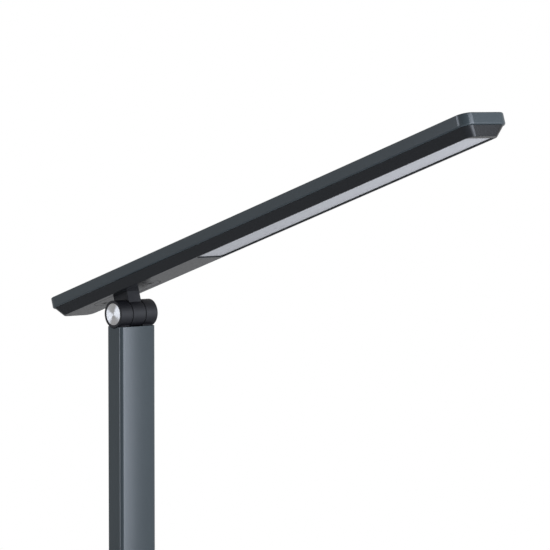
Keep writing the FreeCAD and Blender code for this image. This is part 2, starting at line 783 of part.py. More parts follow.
def plug_screws(height):
    """Places of the two screws through the stem's back into one plug."""
    return [("-stem_depth / 2", side + "plug_screw_spread", height) for side in ("", "-")]


def plug_holes(height):
    """The holes that those screws go into."""
    return [screw(at, "stem_screw_length + overrun", ALONG_X, "screw_fit") for at in plug_screws(height)]


# Upper hinge: the bracket with two ears, plugged into the stem's top
leg_width = "plug_width / 2 - ear_inner"
leg_middle = f"ear_inner + ({leg_width}) / 2"
bracket_parts = ears()
for side in ("", "-"):
    bracket_parts.append(box(("0", f"{side}({leg_middle})", "-plug_start - plug_length"), "leg_depth",
                             leg_width, "plug_start + plug_length"))
bracket_parts.append(box(("0", "0", "-plug_start - plug_length"), "plug_depth", "plug_width", "plug_length"))
bracket_cuts = ear_cuts() + plug_holes("-plug_screw_drop")
bracket_cuts.append(cylinder(("0", "-lead_offset", "-plug_start - plug_length - overrun"),
                             "lead_radius + lead_fit", "plug_start + plug_length + overrun"))
piece(cut(join(*bracket_parts), *bracket_cuts), "stem_top_bracket", "upper")
hinge_hardware("upper", "upper")

# Stem: a flat tube, milled to the barrel's round at both ends
tube = doc.addObject("PartDesign::Body", "stem_tube")
tube_at = ("0", "0", "stem_end")
pad(tube, rounded_rectangle(tube, tube_at, "stem_depth", "stem_width", "stem_corner"), "stem_length")
pocket_up(tube, rectangle(tube, tube_at, "stem_depth - 2 * stem_wall", "stem_width - 2 * stem_wall"),
          "stem_length + overrun")
for height in ("0", "hinge_spacing"):
    drilled(tube, ("0", "-stem_width / 2 - overrun", height), "barrel_radius + saddle_gap",
            "stem_width + 2 * overrun", ALONG_Y)
for height in ("plug_screw_drop", "hinge_spacing - plug_screw_drop"):
    for at in plug_screws(height):
        screwed(tube, at, "stem_wall + overrun", ALONG_X)
piece(tube, "stem_tube", "lower")
stem_spots = plug_screws("plug_screw_drop") + plug_screws("hinge_spacing - plug_screw_drop")
piece(screws(stem_spots, "stem_screw_length", ALONG_X), "stem_screws", "lower")

# Stem: the middle knuckle of the lower hinge, plugged into the stem's bottom
stem_plug = box(("0", "0", "plug_start"), "plug_depth", "plug_width", "plug_length")
stem_neck = box(("0", "0", "0"), "leg_depth", "knuckle_width", "plug_start + plug_length")
stem_cuts = plug_holes("plug_screw_drop")
stem_cuts.append(cylinder(("0", "-knuckle_width / 2 - overrun", "0"), "axle_radius + axle_fit",
                          "knuckle_width + 2 * overrun", ALONG_Y))
stem_cuts.append(cylinder(("0", "0", "0"), "lead_radius + lead_fit", "plug_start + plug_length + overrun"))
stem_solid = join(drum("-knuckle_width / 2", "knuckle_width"), stem_neck, stem_plug)
piece(cut(stem_solid, *stem_cuts), "stem_bottom_knuckle", "lower")

# Stem: the lead through the tube, from the lower axle's notch to the near upper ear's recess
lead_shift = size("plug_start") + size("plug_length") + size("stem_lead_run")
lead("stem_lead", "lower", [
    FreeCAD.Vector(0, 0, size("axle_radius") + size("lead_end_gap")),
    FreeCAD.Vector(0, 0, lead_shift),
    FreeCAD.Vector(0, -size("lead_offset"), lead_shift + size("stem_lead_shift")),
    FreeCAD.Vector(0, -size("lead_offset"),
                   size("hinge_spacing") - size("axle_head_radius") - size("lead_end_gap")),
], size("stem_lead_bend"))

# Lower hinge: the bracket with two ears on legs, on a foot that is screwed to the weight
foot_parts = ears()
for side in ("", "-"):
    foot_parts.append(box(("0", f"{side}(ear_inner + ear_width / 2)", "-axis_over_ballast"),
                          "2 * barrel_radius", "ear_width", "axis_over_ballast"))
foot_parts.append(box(("0", "0", "-axis_over_ballast"), "bracket_length", "bracket_width", "bracket_thickness"))
foot_top = "bracket_thickness - axis_over_ballast"
foot_spots = [(x, y, foot_top) for x in ("bracket_screw_reach", "-bracket_screw_reach")
              for y in ("bracket_screw_spread", "-bracket_screw_spread")]
channel_height = "2 * lead_radius + 2 * lead_lift"
foot_cuts = ear_cuts()
foot_cuts.append(cylinder(("0", "-lead_offset", "-axis_over_ballast"), "lead_radius + lead_fit",
                          "axis_over_ballast"))
foot_cuts.append(box(("bracket_length / 4", "-lead_offset", "-axis_over_ballast"),
                     "bracket_length / 2 + 2 * overrun", "2 * (lead_radius + lead_fit)", channel_height))
foot_cuts += [screw(at, "bracket_screw_length", DOWN, "screw_fit") for at in foot_spots]
piece(cut(join(*foot_parts), *foot_cuts), "base_bracket", "lower")
piece(screws(foot_spots, "bracket_screw_length", DOWN), "bracket_screws", "lower")
hinge_hardware("lower", "lower")

# Base: steel weight under the bracket
ballast = doc.addObject("PartDesign::Body", "ballast_plate")
pad(ballast, rounded_rectangle(ballast, ("ballast_middle", "0", "base_deck"), "ballast_length",
                               "ballast_width", "ballast_corner"), "ballast_thickness")
for x, y, z in foot_spots:
    drilled(ballast, (f"stem_place + ({x})", y, "ballast_top"), "screw_radius + screw_fit",
            "bracket_screw_length - bracket_thickness + screw_fit", DOWN)
piece(ballast, "ballast_plate", "base")

# Base: lower housing with sloped sides, posts for the board and a recess for the foot pad
boss_spots = [(x, y) for x in ("boss_reach", "-boss_reach") for y in ("boss_spread", "-boss_spread")]
post_spots = [(f"board_middle {x} post_reach", y + "post_spread") for x in "+-" for y in ("", "-")]
tray = doc.addObject("PartDesign::Body", "base_housing")
under_at = ("0", "0", "base_under")
seam_at = ("0", "0", "base_seam")
loft(tray, rounded_rectangle(tray, under_at, "base_length - 2 * base_inset", "base_width - 2 * base_inset",
                             "base_corner - base_inset"),
     rounded_rectangle(tray, seam_at, "base_length - 2 * base_lip", "base_width - 2 * base_lip",
                       "base_corner - base_lip"))
pad(tray, rounded_rectangle(tray, seam_at, "base_length - 2 * (base_wall + base_rim_fit)",
                            "base_width - 2 * (base_wall + base_rim_fit)",
                            "base_corner - base_wall - base_rim_fit"), "base_rim")
pocket_down(tray, rounded_rectangle(tray, ("0", "0", "base_rim_top"), "base_length - 2 * base_cavity_inset",
                                    "base_width - 2 * base_cavity_inset", "base_corner - base_cavity_inset"),
            "base_rim_top - base_deck")
pocket_up(tray, rounded_rectangle(tray, under_at, "base_length - 2 * (base_inset + foot_margin)",
                                  "base_width - 2 * (base_inset + foot_margin)", "base_corner - base_inset"),
          "foot_seat")
for x, y in post_spots:
    raised(tray, (x, y, "base_deck"), "post_radius", "post_height")
    drilled(tray, (x, y, "board_bottom"), "screw_radius + screw_fit", "board_screw_length", DOWN)
for x, y in boss_spots:
    screwed(tray, (x, y, "foot_thickness"), "base_floor + overrun")
piece(tray, "base_housing", "base")

# Base: rubber foot pad, which the lamp rests on
foot = doc.addObject("PartDesign::Body", "foot_pad")
pad(foot, rounded_rectangle(foot, ("0", "0", "0"), "base_length - 2 * (base_inset + foot_margin + foot_fit)",
                            "base_width - 2 * (base_inset + foot_margin + foot_fit)",
                            "base_corner - base_inset - foot_fit"), "foot_thickness")
piece(foot, "foot_pad", "base")

# Base: top cover, with openings for the bracket, the button and the power inlet
lid = doc.addObject("PartDesign::Body", "base_cover")
lid_shell = pad(lid, rounded_rectangle(lid, seam_at, "base_length", "base_width", "base_corner"), "base_side")
rounded(lid, lid_shell, edges_at(lid_shell, size("base_top")), "base_edge")
pocket_up(lid, rounded_rectangle(lid, seam_at, "base_length - 2 * base_wall", "base_width - 2 * base_wall",
                                 "base_corner - base_wall"), "base_side - base_wall")
for x, y in boss_spots:
    raised(lid, (x, y, "base_deck"), "boss_radius", "base_ceiling - base_deck")
    drilled(lid, (x, y, "base_deck"), "screw_radius + screw_fit", "base_screw_length")
pocket_up(lid, rectangle(lid, ("stem_place", "0", "base_ceiling"), "2 * (barrel_radius + opening_gap)",
                         "barrel_length + 2 * opening_gap"), "base_wall + overrun")
drilled(lid, ("board_middle", "0", "base_ceiling"), "button_radius + button_gap", "base_wall + overrun")
drilled(lid, ("-base_length / 2 - overrun", "jack_offset", "jack_axis"), "jack_nose_radius + jack_fit",
        "base_wall + 2 * overrun", ALONG_X)
piece(lid, "base_cover", "base")
piece(screws([(x, y, "foot_thickness") for x, y in boss_spots], "base_screw_length"), "base_screws", "base")

# Base: control board on the posts, with its screws and a push switch
board_cuts = [cylinder((x, y, "board_bottom"), "screw_radius + screw_fit", "board_thickness")
              for x, y in post_spots]
board_block = box(("board_middle", "0", "board_bottom"), "board_length", "board_width", "board_thickness")
piece(cut(board_block, *board_cuts), "control_board", "base")
board_screw_parts = []
for x, y in post_spots:
    board_screw_parts.append(cylinder((x, y, "board_top"), "screw_head_radius", "screw_head_height"))
    board_screw_parts.append(cylinder((x, y, "board_top"), "screw_radius", "board_screw_length", DOWN))
piece(join(*board_screw_parts), "board_screws", "base")
switch_block = box(("board_middle", "0", "board_top"), "switch_width", "switch_width", "switch_height")
switch_bore = cylinder(("board_middle", "0", "switch_top"), "plunger_radius + plunger_fit",
                       "switch_bore_depth", DOWN)
piece(cut(switch_block, switch_bore), "switch_body", "base")
plunger = doc.addObject("PartDesign::Body", "switch_plunger")
raised(plunger, ("board_middle", "0", "switch_top - plunger_depth"), "plunger_radius",
       "plunger_depth + plunger_proud")
piece(plunger, "switch_plunger", "base")

# Base: push button, kept under the cover by its flange, with a post down to the switch
button_side = "button_top - button_bevel"
button_parts = [
    cylinder(("board_middle", "0", "plunger_top"), "button_post_radius", "flange_top - plunger_top"),
    cylinder(("board_middle", "0", "flange_top - button_flange_thickness"), "button_radius + button_flange",
             "button_flange_thickness"),
    cylinder(("board_middle", "0", "flange_top"), "button_radius", f"{button_side} - flange_top"),
    cone(("board_middle", "0", button_side), "button_radius", "button_radius - button_bevel", "button_bevel"),
]
piece(join(*button_parts), "power_button", "base")

# Base: power inlet in the back wall, with its centre pin
jack_at = ("jack_face + jack_length / 2", "jack_offset", "base_rim_top")
jack_block = box(jack_at, "jack_length", "jack_width", "jack_height")
jack_nose = cylinder(("jack_inset - base_length / 2", "jack_offset", "jack_axis"), "jack_nose_radius",
                     "base_wall", ALONG_X)
jack_bore = cylinder(("-base_length / 2", "jack_offset", "jack_axis"), "jack_bore_radius",
                     "jack_inset + jack_bore_depth", ALONG_X)
piece(cut(join(jack_block, jack_nose), jack_bore), "dc_jack", "base")
pin_root = "jack_inset + jack_bore_depth - base_length / 2"
pin_shaft = cylinder((f"{pin_root} - jack_pin_length + jack_pin_nose", "jack_offset", "jack_axis"),
                     "jack_pin_radius", "jack_pin_length - jack_pin_nose", ALONG_X)
pin_nose = cone((f"{pin_root} - jack_pin_length", "jack_offset", "jack_axis"),
                "jack_pin_radius - jack_pin_nose", "jack_pin_radius", "jack_pin_nose", ALONG_X)
piece(join(pin_shaft, pin_nose), "jack_pin", "base")

# Base: leads from the inlet to the board, and from the board to the bracket's near leg
lead_over_ballast = size("ballast_top") + size("lead_radius") + size("lead_lift")
board_rear = size("board_middle") - size("board_length") / 2
clear_of_screws = size("post_inset") + size("screw_head_radius")
solder_spot = board_rear + clear_of_screws + size("lead_radius") + size("lead_bend")
lead("inlet_lead", "base", [
    FreeCAD.Vector(size("jack_face") + size("jack_length"), size("jack_offset"), lead_over_ballast),
    FreeCAD.Vector(solder_spot, size("jack_offset"), lead_over_ballast),
    FreeCAD.Vector(solder_spot, size("jack_offset"), size("board_top")),
], size("lead_bend"))
lead("base_lead", "base", [
    FreeCAD.Vector(solder_spot, -size("lead_offset"), size("board_top")),
    FreeCAD.Vector(solder_spot, -size("lead_offset"), lead_over_ballast),
    FreeCAD.Vector(size("stem_place"), -size("lead_offset"), lead_over_ballast),
    FreeCAD.Vector(size("stem_place"), -size("lead_offset"),
                   size("lower_axis") - size("axle_head_radius") - size("lead_end_gap")),
], size("lead_bend"))

# Check every object before anything is written
doc.recompute()
for item in doc.Objects:
    if "Invalid" in item.State or "Error" in item.State:
        raise RuntimeError(f"{item.Label} did not compute: {item.State}")
    if item.TypeId in ("PartDesign::Pocket", "PartDesign::SubtractiveCylinder", "PartDesign::SubtractiveCone"):
        if item.Shape.Volume > item.BaseFeature.Shape.Volume - TOUCH:
            raise RuntimeError(f"{item.Label} cuts nothing")
for item in PIECES:
    if item.Shape.isNull() or not item.Shape.isValid() or not item.Shape.Solids:
        raise RuntimeError(f"{item.Label} has no sound shape")

os.makedirs("parts", exist_ok=True)
for item in PIECES:
    item.Shape.exportStep(f"parts/{item.Label}.step")
    print(f"{item.Label}: {len(item.Shape.Solids)} solids, {item.Shape.Volume:.1f} mm3")
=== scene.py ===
# Bedside lamp: a folding light bar on a flat stem over a weighted base. Everything is in metres.
import json
from math import cos, pi, radians, sin

import bmesh
import bpy
from mathutils import Matrix, Vector


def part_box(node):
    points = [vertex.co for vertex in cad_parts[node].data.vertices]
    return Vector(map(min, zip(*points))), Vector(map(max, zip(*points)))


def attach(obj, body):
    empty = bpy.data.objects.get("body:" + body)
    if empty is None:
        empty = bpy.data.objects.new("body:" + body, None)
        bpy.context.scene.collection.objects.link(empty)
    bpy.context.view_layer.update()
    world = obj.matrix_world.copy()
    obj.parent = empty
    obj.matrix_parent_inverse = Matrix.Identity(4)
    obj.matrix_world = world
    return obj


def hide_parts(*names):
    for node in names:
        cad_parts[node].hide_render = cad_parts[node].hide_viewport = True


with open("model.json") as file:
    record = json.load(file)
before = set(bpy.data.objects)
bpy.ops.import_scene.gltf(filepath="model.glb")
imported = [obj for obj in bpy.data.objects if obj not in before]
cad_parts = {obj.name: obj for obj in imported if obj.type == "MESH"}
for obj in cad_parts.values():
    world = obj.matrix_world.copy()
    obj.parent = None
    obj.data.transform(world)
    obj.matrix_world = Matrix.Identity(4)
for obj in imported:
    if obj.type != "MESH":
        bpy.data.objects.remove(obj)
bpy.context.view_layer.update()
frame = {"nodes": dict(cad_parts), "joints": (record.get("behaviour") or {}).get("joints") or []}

# Base housing: the lower shell of the base, moulded in black ABS with a fine spark-eroded grain.
# It holds the weight, the circuit board and the power inlet, and its rim carries the base cover.
MILLIMETRE = 0.001
JOIN_DISTANCE = 0.002 * MILLIMETRE
FLAT_ANGLE = radians(0.2)
SHARP_ANGLE = radians(32)
SMOOTH_ANGLE = radians(38)
EASE_STEPS = 3
HOUSING_EASE = 0.25 * MILLIMETRE
BLACK_ABS = (0.0053, 0.0065, 0.0081, 1)
GRAIN_DETAIL = 1
PATCH_DETAIL = 3
NOISE_MIDDLE = 0.5


def joined_copy(node):
    """One CAD node as a closed skin: its loose triangles joined and its flat faces whole again."""
    skin = bmesh.new()
    skin.from_mesh(frame["nodes"][node].data)
    bmesh.ops.remove_doubles(skin, verts=skin.verts[:], dist=JOIN_DISTANCE)
    bmesh.ops.dissolve_limit(skin, angle_limit=FLAT_ANGLE, verts=skin.verts[:], edges=skin.edges[:])
    return skin


def outer_edges(skin):
    """The sharp edges that stand outwards, where a mould or a cutter leaves a small radius."""
    solid = [edge for edge in skin.edges if edge.is_manifold and edge.is_convex]
    return [edge for edge in solid if edge.calc_face_angle() > SHARP_ANGLE]


def ease(skin, edges, radius):
    """Rounds these edges over by a small radius."""
    bmesh.ops.bevel(
        skin, geom=edges, offset=radius, offset_type="OFFSET", segments=EASE_STEPS,
        profile=0.5, affect="EDGES", clamp_overlap=False, loop_slide=True,
    )


def made_plain(piece):
    """Replaces a piece's mesh by what its modifiers make of it, and removes them."""
    drawn = piece.data
    seen = piece.evaluated_get(bpy.context.evaluated_depsgraph_get())
    piece.data = bpy.data.meshes.new_from_object(seen)
    piece.modifiers.clear()
    bpy.data.meshes.remove(drawn)
    piece.data.name = piece.name
    return piece


def finished(skin, name, material):
    """Turns a skin into a plain mesh object, smooth over its curves and flat on its flats."""
    mesh = bpy.data.meshes.new(name)
    skin.to_mesh(mesh)
    skin.free()
    mesh.shade_smooth()
    mesh.set_sharp_from_angle(angle=SMOOTH_ANGLE)
    mesh.materials.append(material)
    piece = bpy.data.objects.new(name, mesh)
    bpy.context.scene.collection.objects.link(piece)
    flats = piece.modifiers.new("flat_faces", "WEIGHTED_NORMAL")
    flats.keep_sharp = True
    return made_plain(piece)


def eased(node, name, material, radius):
    """A CAD node with its outer edges rounded over."""
    skin = joined_copy(node)
    ease(skin, outer_edges(skin), radius)
    return finished(skin, name, material)


def fit(piece, body, slot, *nodes):
    """Sets a finished piece on its body, in the place of its CAD nodes."""
    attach(piece, body)
    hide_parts(*nodes)


def reckon(tree, operation, first, second):
    """A maths node whose inputs are sockets or plain numbers."""
    node = tree.nodes.new("ShaderNodeMath")
    node.operation = operation
    for socket, value in zip(node.inputs, (first, second)):
        if isinstance(value, (int, float)):
            socket.default_value = value
        else:
            tree.links.new(value, socket)
    return node.outputs[0]


def shader_group(name, inputs, outputs):
    """An empty shader node group with named sockets."""
    group = bpy.data.node_groups.new(name, "ShaderNodeTree")
    for socket, kind, value in inputs:
        made = group.interface.new_socket(socket, in_out="INPUT", socket_type=kind)
        made.default_value = value
    for socket, kind in outputs:
        group.interface.new_socket(socket, in_out="OUTPUT", socket_type=kind)
    return group, group.nodes.new("NodeGroupInput"), group.nodes.new("NodeGroupOutput")


def noise(tree, place, per_metre, detail):
    """Noise with so many spots to the metre, as a value from 0 to 1."""
    texture = tree.nodes.new("ShaderNodeTexNoise")
    texture.inputs["Detail"].default_value = detail
    tree.links.new(place, texture.inputs["Vector"])
    tree.links.new(per_metre, texture.inputs["Scale"])
    return texture.outputs["Fac"]


def grain_group():
    """Moulded and painted surfaces: fine grain over broad, handled patches."""
    group, entry, result = shader_group(
        "surface_grain",
        [
            ("Color", "NodeSocketColor", (0.1, 0.1, 0.1, 1)),
            ("Color Spread", "NodeSocketFloat", 0.1),
            ("Roughness", "NodeSocketFloat", 0.4),
            ("Roughness Spread", "NodeSocketFloat", 0.1),
            ("Grains per Metre", "NodeSocketFloat", 2000.0),
            ("Patches per Metre", "NodeSocketFloat", 30.0),
        ],
        [
            ("Color", "NodeSocketColor"),
            ("Roughness", "NodeSocketFloat"),
            ("Height", "NodeSocketFloat"),
        ],
    )
    place = group.nodes.new("ShaderNodeTexCoord").outputs["Object"]
    grains = noise(group, place, entry.outputs["Grains per Metre"], GRAIN_DETAIL)
    patches = noise(group, place, entry.outputs["Patches per Metre"], PATCH_DETAIL)
    grain_off = reckon(group, "SUBTRACT", grains, NOISE_MIDDLE)
    patch_off = reckon(group, "SUBTRACT", patches, NOISE_MIDDLE)
    both_off = reckon(group, "ADD", grain_off, patch_off)
    shift = reckon(group, "MULTIPLY", both_off, entry.outputs["Color Spread"])
    tone = reckon(group, "ADD", shift, 1)
    tint = group.nodes.new("ShaderNodeHueSaturation")
    group.links.new(entry.outputs["Color"], tint.inputs["Color"])
    group.links.new(tone, tint.inputs["Value"])
    gloss = reckon(group, "MULTIPLY", both_off, entry.outputs["Roughness Spread"])
    group.links.new(tint.outputs["Color"], result.inputs["Color"])
    group.links.new(reckon(group, "ADD", gloss, entry.outputs["Roughness"]), result.inputs["Roughness"])
    group.links.new(grains, result.inputs["Height"])
    return group


def new_finish(name, constants):
    """A node material whose constants sit on the shader's own sockets."""
    material = bpy.data.materials.new(name)
    material.use_nodes = True
    shader = material.node_tree.nodes["Principled BSDF"]
    for socket, value in constants.items():
        shader.inputs[socket].default_value = value
    return material, material.node_tree, shader


def place_group(tree, group, values):
    """Sets a shared node group into a material with its own values."""
    spot = tree.nodes.new("ShaderNodeGroup")
    spot.node_tree = group
    for socket, value in values.items():
        spot.inputs[socket].default_value = value
    return spot


def bump_from(tree, shader, height, depth):
    """Raises the surface by a height pattern, so many metres deep."""
    bump = tree.nodes.new("ShaderNodeBump")
    bump.inputs["Distance"].default_value = depth
    tree.links.new(height, bump.inputs["Height"])
    tree.links.new(bump.outputs["Normal"], shader.inputs["Normal"])


surface_grain = grain_group()


def grained(name, values, depth, constants):
    """A finish whose colour, gloss and bump all come from the surface grain."""
    material, tree, shader = new_finish(name, constants)
    surface = place_group(tree, surface_grain, values)
    tree.links.new(surface.outputs["Color"], shader.inputs["Base Color"])
    tree.links.new(surface.outputs["Roughness"], shader.inputs["Roughness"])
    bump_from(tree, shader, surface.outputs["Height"], depth)
    return material


black_plastic = grained(
    "black_plastic",
    {"Color": BLACK_ABS, "Color Spread": 0.1, "Roughness": 0.228, "Roughness Spread": 0.03,
     "Grains per Metre": 2200.0, "Patches per Metre": 35.0},
    depth=0.0005 * MILLIMETRE,
    constants={"Specular IOR Level": 0.45},
)
base_shell = eased("base_housing", "base_shell", black_plastic, HOUSING_EASE)
fit(base_shell, "base", "black_plastic", "base_housing")

# Weight: a sheared steel plate that keeps the lamp standing, primed grey.
# It lies on the housing's floor, under the bracket that is screwed into it.
PRIMER_GREY = (0.06, 0.06, 0.06, 1)


def dress(material, *nodes):
    """Gives a finish to CAD nodes whose shape is right as it is."""
    for node in nodes:
        for slot in frame["nodes"][node].material_slots:
            slot.material = material


dress(
    grained(
        "ballast",
        {"Color": PRIMER_GREY, "Color Spread": 0.5, "Roughness": 0.75, "Roughness Spread": 0.2,
         "Grains per Metre": 700.0, "Patches per Metre": 60.0},
        depth=0.12 * MILLIMETRE,
        constants={"Specular IOR Level": 0.4},
    ),
    "ballast_plate",
)

# Bracket: a black die-cast foot with the two outer knuckles of the lower hinge.
# Four screws hold it down on the weight, and its knuckles rise through the base cover.
CASTING_EASE = 0.08 * MILLIMETRE
CAST_BLACK = (0.006, 0.006, 0.0083, 1)
black_casting = grained(
    "black_casting",
    {"Color": CAST_BLACK, "Color Spread": 0.2, "Roughness": 0.525, "Roughness Spread": 0.08,
     "Grains per Metre": 1500.0, "Patches per Metre": 90.0},
    depth=0.003 * MILLIMETRE,
    constants={"Specular IOR Level": 0.365},
)
bracket = eased("base_bracket", "bracket", black_casting, CASTING_EASE)
fit(bracket, "base", "black_casting", "base_bracket")

# Inner screws: zinc-plated steel, countersunk in the bracket and pan-headed on the board.
# The plating has a faint yellow tinge and is duller in patches.
ZINC = (0.52, 0.51, 0.48, 1)
steel = grained(
    "steel",
    {"Color": ZINC, "Color Spread": 0.15, "Roughness": 0.34, "Roughness Spread": 0.15,
     "Grains per Metre": 3000.0, "Patches per Metre": 300.0},
    depth=0.002 * MILLIMETRE,
    constants={"Metallic": 1.0},
)
dress(steel, "bracket_screws", "board_screws")

# Control board: green glass laminate with the power button's switch soldered to it.
# It stands on four posts of the housing, right under the button.
BOARD_GREEN = (0.012, 0.075, 0.03, 1)
SWITCH_BLACK = (0.02, 0.02, 0.02, 1)
dress(
    grained(
        "green_board",
        {"Color": BOARD_GREEN, "Color Spread": 0.3, "Roughness": 0.3, "Roughness Spread": 0.1,
         "Grains per Metre": 900.0, "Patches per Metre": 80.0},
        depth=0.01 * MILLIMETRE,
        constants={"Coat Weight": 0.3},
    ),
    "control_board",
)
dress(
    grained(
        "switch",
        {"Color": SWITCH_BLACK, "Color Spread": 0.2, "Roughness": 0.45, "Roughness Spread": 0.1,
         "Grains per Metre": 3000.0, "Patches per Metre": 200.0},
        depth=0.003 * MILLIMETRE,
        constants={},
    ),
    "switch_body", "switch_plunger",
)

# Power inlet: a round low-voltage socket in the back of the base, with a brass contact pin.
# The socket stands on the housing's rim, and its face ends just inside the cover's wall.
SOCKET_EASE = 0.12 * MILLIMETRE
BRASS = (0.75, 0.55, 0.24, 1)
socket = eased("dc_jack", "inlet_socket", black_plastic, SOCKET_EASE)
fit(socket, "base", "black_plastic", "dc_jack")
dress(
    grained(
        "contact_pin",
        {"Color": BRASS, "Color Spread": 0.1, "Roughness": 0.25, "Roughness Spread": 0.1,
         "Grains per Metre": 4000.0, "Patches per Metre": 400.0},
        depth=0.001 * MILLIMETRE,
        constants={"Metallic": 1.0},
    ),
    "jack_pin",
)

# Leads: thin two-core leads in soft black vinyl, from the inlet to the board and up to the bar.
# They run hidden, through the hollow axles and the stem.
VINYL = (0.02, 0.02, 0.021, 1)
dress(
    grained(
        "lead",
        {"Color": VINYL, "Color Spread": 0.2, "Roughness": 0.5, "Roughness Spread": 0.1,
         "Grains per Metre": 2500.0, "Patches per Metre": 150.0},
        depth=0.003 * MILLIMETRE,
        constants={"Sheen Weight": 0.05},
    ),
    "inlet_lead", "base_lead", "stem_lead", "head_lead",
)

# Base cover: a shallow aluminium lid in satin anthracite, drawn from sheet and anodised.
# It drops over the housing's rim, and has openings for the bracket, the button and the inlet.
COVER_EASE = 0.3 * MILLIMETRE
ANTHRACITE = (0.0393, 0.0519, 0.0584, 1)
anthracite = grained(
    "anthracite",
    {"Color": ANTHRACITE, "Color Spread": 0.04, "Roughness": 0.243, "Roughness Spread": 0.03,
     "Grains per Metre": 2600.0, "Patches per Metre": 22.0},
    depth=0.0003 * MILLIMETRE,
    constants={"Specular IOR Level": 0.5},
)
base_lid = eased("base_cover", "base_lid", anthracite, COVER_EASE)
fit(base_lid, "base", "anthracite", "base_cover")

# Power button: a turned black cap with a dished top, so that a finger finds it.
# It slides in its hole in the cover, and its flange and post stay below.
BUTTON_STEPS = 96
BUTTON_DISH = 0.35 * MILLIMETRE
BUTTON_RIM = 0.9 * MILLIMETRE
BUTTON_ROUND = 0.4 * MILLIMETRE
BUTTON_FLANGE = 1.0 * MILLIMETRE
BUTTON_FLANGE_TOP = 17.8 * MILLIMETRE
BUTTON_RADIUS = 7.0 * MILLIMETRE
BUTTON_POST = 2.4 * MILLIMETRE
BUTTON_BLACK = (0.018, 0.018, 0.019, 1)
DISH_RINGS = 10
ROUND_RINGS = 4


def turned(profile, steps, place):
    """A closed body turned about its own upright axis from (radius, height) points, then set in place."""
    skin = bmesh.new()
    rings = []
    for radius, height in profile:
        count = steps if radius else 1
        angles = [2 * pi * step / steps for step in range(count)]
        rings.append([skin.verts.new((radius * cos(a), radius * sin(a), height)) for a in angles])
    for lower, upper in zip(rings, rings[1:]):
        for step in range(steps):
            corners = [lower[step % len(lower)], lower[(step + 1) % len(lower)]]
            corners += [upper[(step + 1) % len(upper)], upper[step % len(upper)]]
            skin.faces.new(list(dict.fromkeys(corners)))
    bmesh.ops.recalc_face_normals(skin, faces=skin.faces[:])
    skin.transform(place)
    return skin


def quarter(radius, height, bend):
    """Points of a rounded top edge that turns from the side into the top."""
    angles = [pi / 2 * ring / ROUND_RINGS for ring in range(ROUND_RINGS + 1)]
    return [(radius - bend + bend * cos(a), height - bend + bend * sin(a)) for a in angles]


button_low, button_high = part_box("power_button")
button_middle = (button_low + button_high) / 2
dish_radius = BUTTON_RADIUS - BUTTON_RIM
button_flange_radius = (button_high.x - button_low.x) / 2
button_profile = [
    (0, button_low.z),
    (BUTTON_POST, button_low.z),
    (BUTTON_POST, BUTTON_FLANGE_TOP - BUTTON_FLANGE),
    (button_flange_radius, BUTTON_FLANGE_TOP - BUTTON_FLANGE),
    (button_flange_radius, BUTTON_FLANGE_TOP),
    (BUTTON_RADIUS, BUTTON_FLANGE_TOP),
]
button_profile += quarter(BUTTON_RADIUS, button_high.z, BUTTON_ROUND)
for ring in range(DISH_RINGS + 1):
    dish_share = 1 - ring / DISH_RINGS
    button_profile.append((dish_radius * dish_share, button_high.z - BUTTON_DISH * (1 - dish_share ** 2)))
button_black = grained(
    "button",
    {"Color": BUTTON_BLACK, "Color Spread": 0.15, "Roughness": 0.42, "Roughness Spread": 0.1,
     "Grains per Metre": 2600.0, "Patches per Metre": 250.0},
    depth=0.004 * MILLIMETRE,
    constants={"Specular IOR Level": 0.5},
)
button_place = Matrix.Translation((button_middle.x, button_middle.y, 0))
button_cap = finished(turned(button_profile, BUTTON_STEPS, button_place), "button_cap", button_black)
fit(button_cap, "button", "button", "power_button")

# Foot pad: a black rubber sheet with rows of small studs, glued under the housing.
# The studs are moulded with the sheet, and their flat ends are what the lamp stands on.
STUD_HEIGHT = 0.6 * MILLIMETRE
STUD_SINK = 0.1 * MILLIMETRE
STUD_RADIUS = 2.2 * MILLIMETRE
STUD_TIP = 1.7 * MILLIMETRE
STUD_PITCH = 6.4 * MILLIMETRE
STUD_MARGIN = 4.0 * MILLIMETRE
STUD_SIDES = 12
RUBBER_BLACK = (0.02, 0.02, 0.02, 1)
PAD_EASE = 0.2 * MILLIMETRE


def shape_tree(name, inputs):
    """An empty geometry tree with named inputs, its two ends and each input's identifier."""
    tree = bpy.data.node_groups.new(name, "GeometryNodeTree")
    tree.interface.new_socket("Geometry", in_out="INPUT", socket_type="NodeSocketGeometry")
    known = {}
    for socket, kind in inputs.items():
        made = tree.interface.new_socket(socket, in_out="INPUT", socket_type=kind)
        known[socket] = made.identifier
    tree.interface.new_socket("Geometry", in_out="OUTPUT", socket_type="NodeSocketGeometry")
    return tree, tree.nodes.new("NodeGroupInput"), tree.nodes.new("NodeGroupOutput"), known


def shape_node(tree, kind, links, constants=None):
    """A geometry node with its inputs linked by name and its constants set."""
    node = tree.nodes.new(kind)
    for socket, value in (constants or {}).items():
        node.inputs[socket].default_value = value
    for socket, source in links.items():
        tree.links.new(source, node.inputs[socket])
    return node


def realised(tree, result, shapes, material):
    """Ends a tree: instances made real, joined, and given their finish."""
    real = shape_node(tree, "GeometryNodeRealizeInstances", {"Geometry": shapes})
    dressed = shape_node(
        tree, "GeometryNodeSetMaterial", {"Geometry": real.outputs[0]}, {"Material": material},
    )
    tree.links.new(dressed.outputs[0], result.inputs["Geometry"])


def grown(piece, tree, known, values):
    """Runs a geometry tree on a piece with these input values and keeps the result as a plain mesh."""
    modifier = piece.modifiers.new(tree.name, "NODES")
    modifier.node_group = tree
    for socket, value in values.items():
        modifier[known[socket]] = value
    made_plain(piece)
    piece.data.shade_smooth()
    piece.data.set_sharp_from_angle(angle=SMOOTH_ANGLE)
    return piece


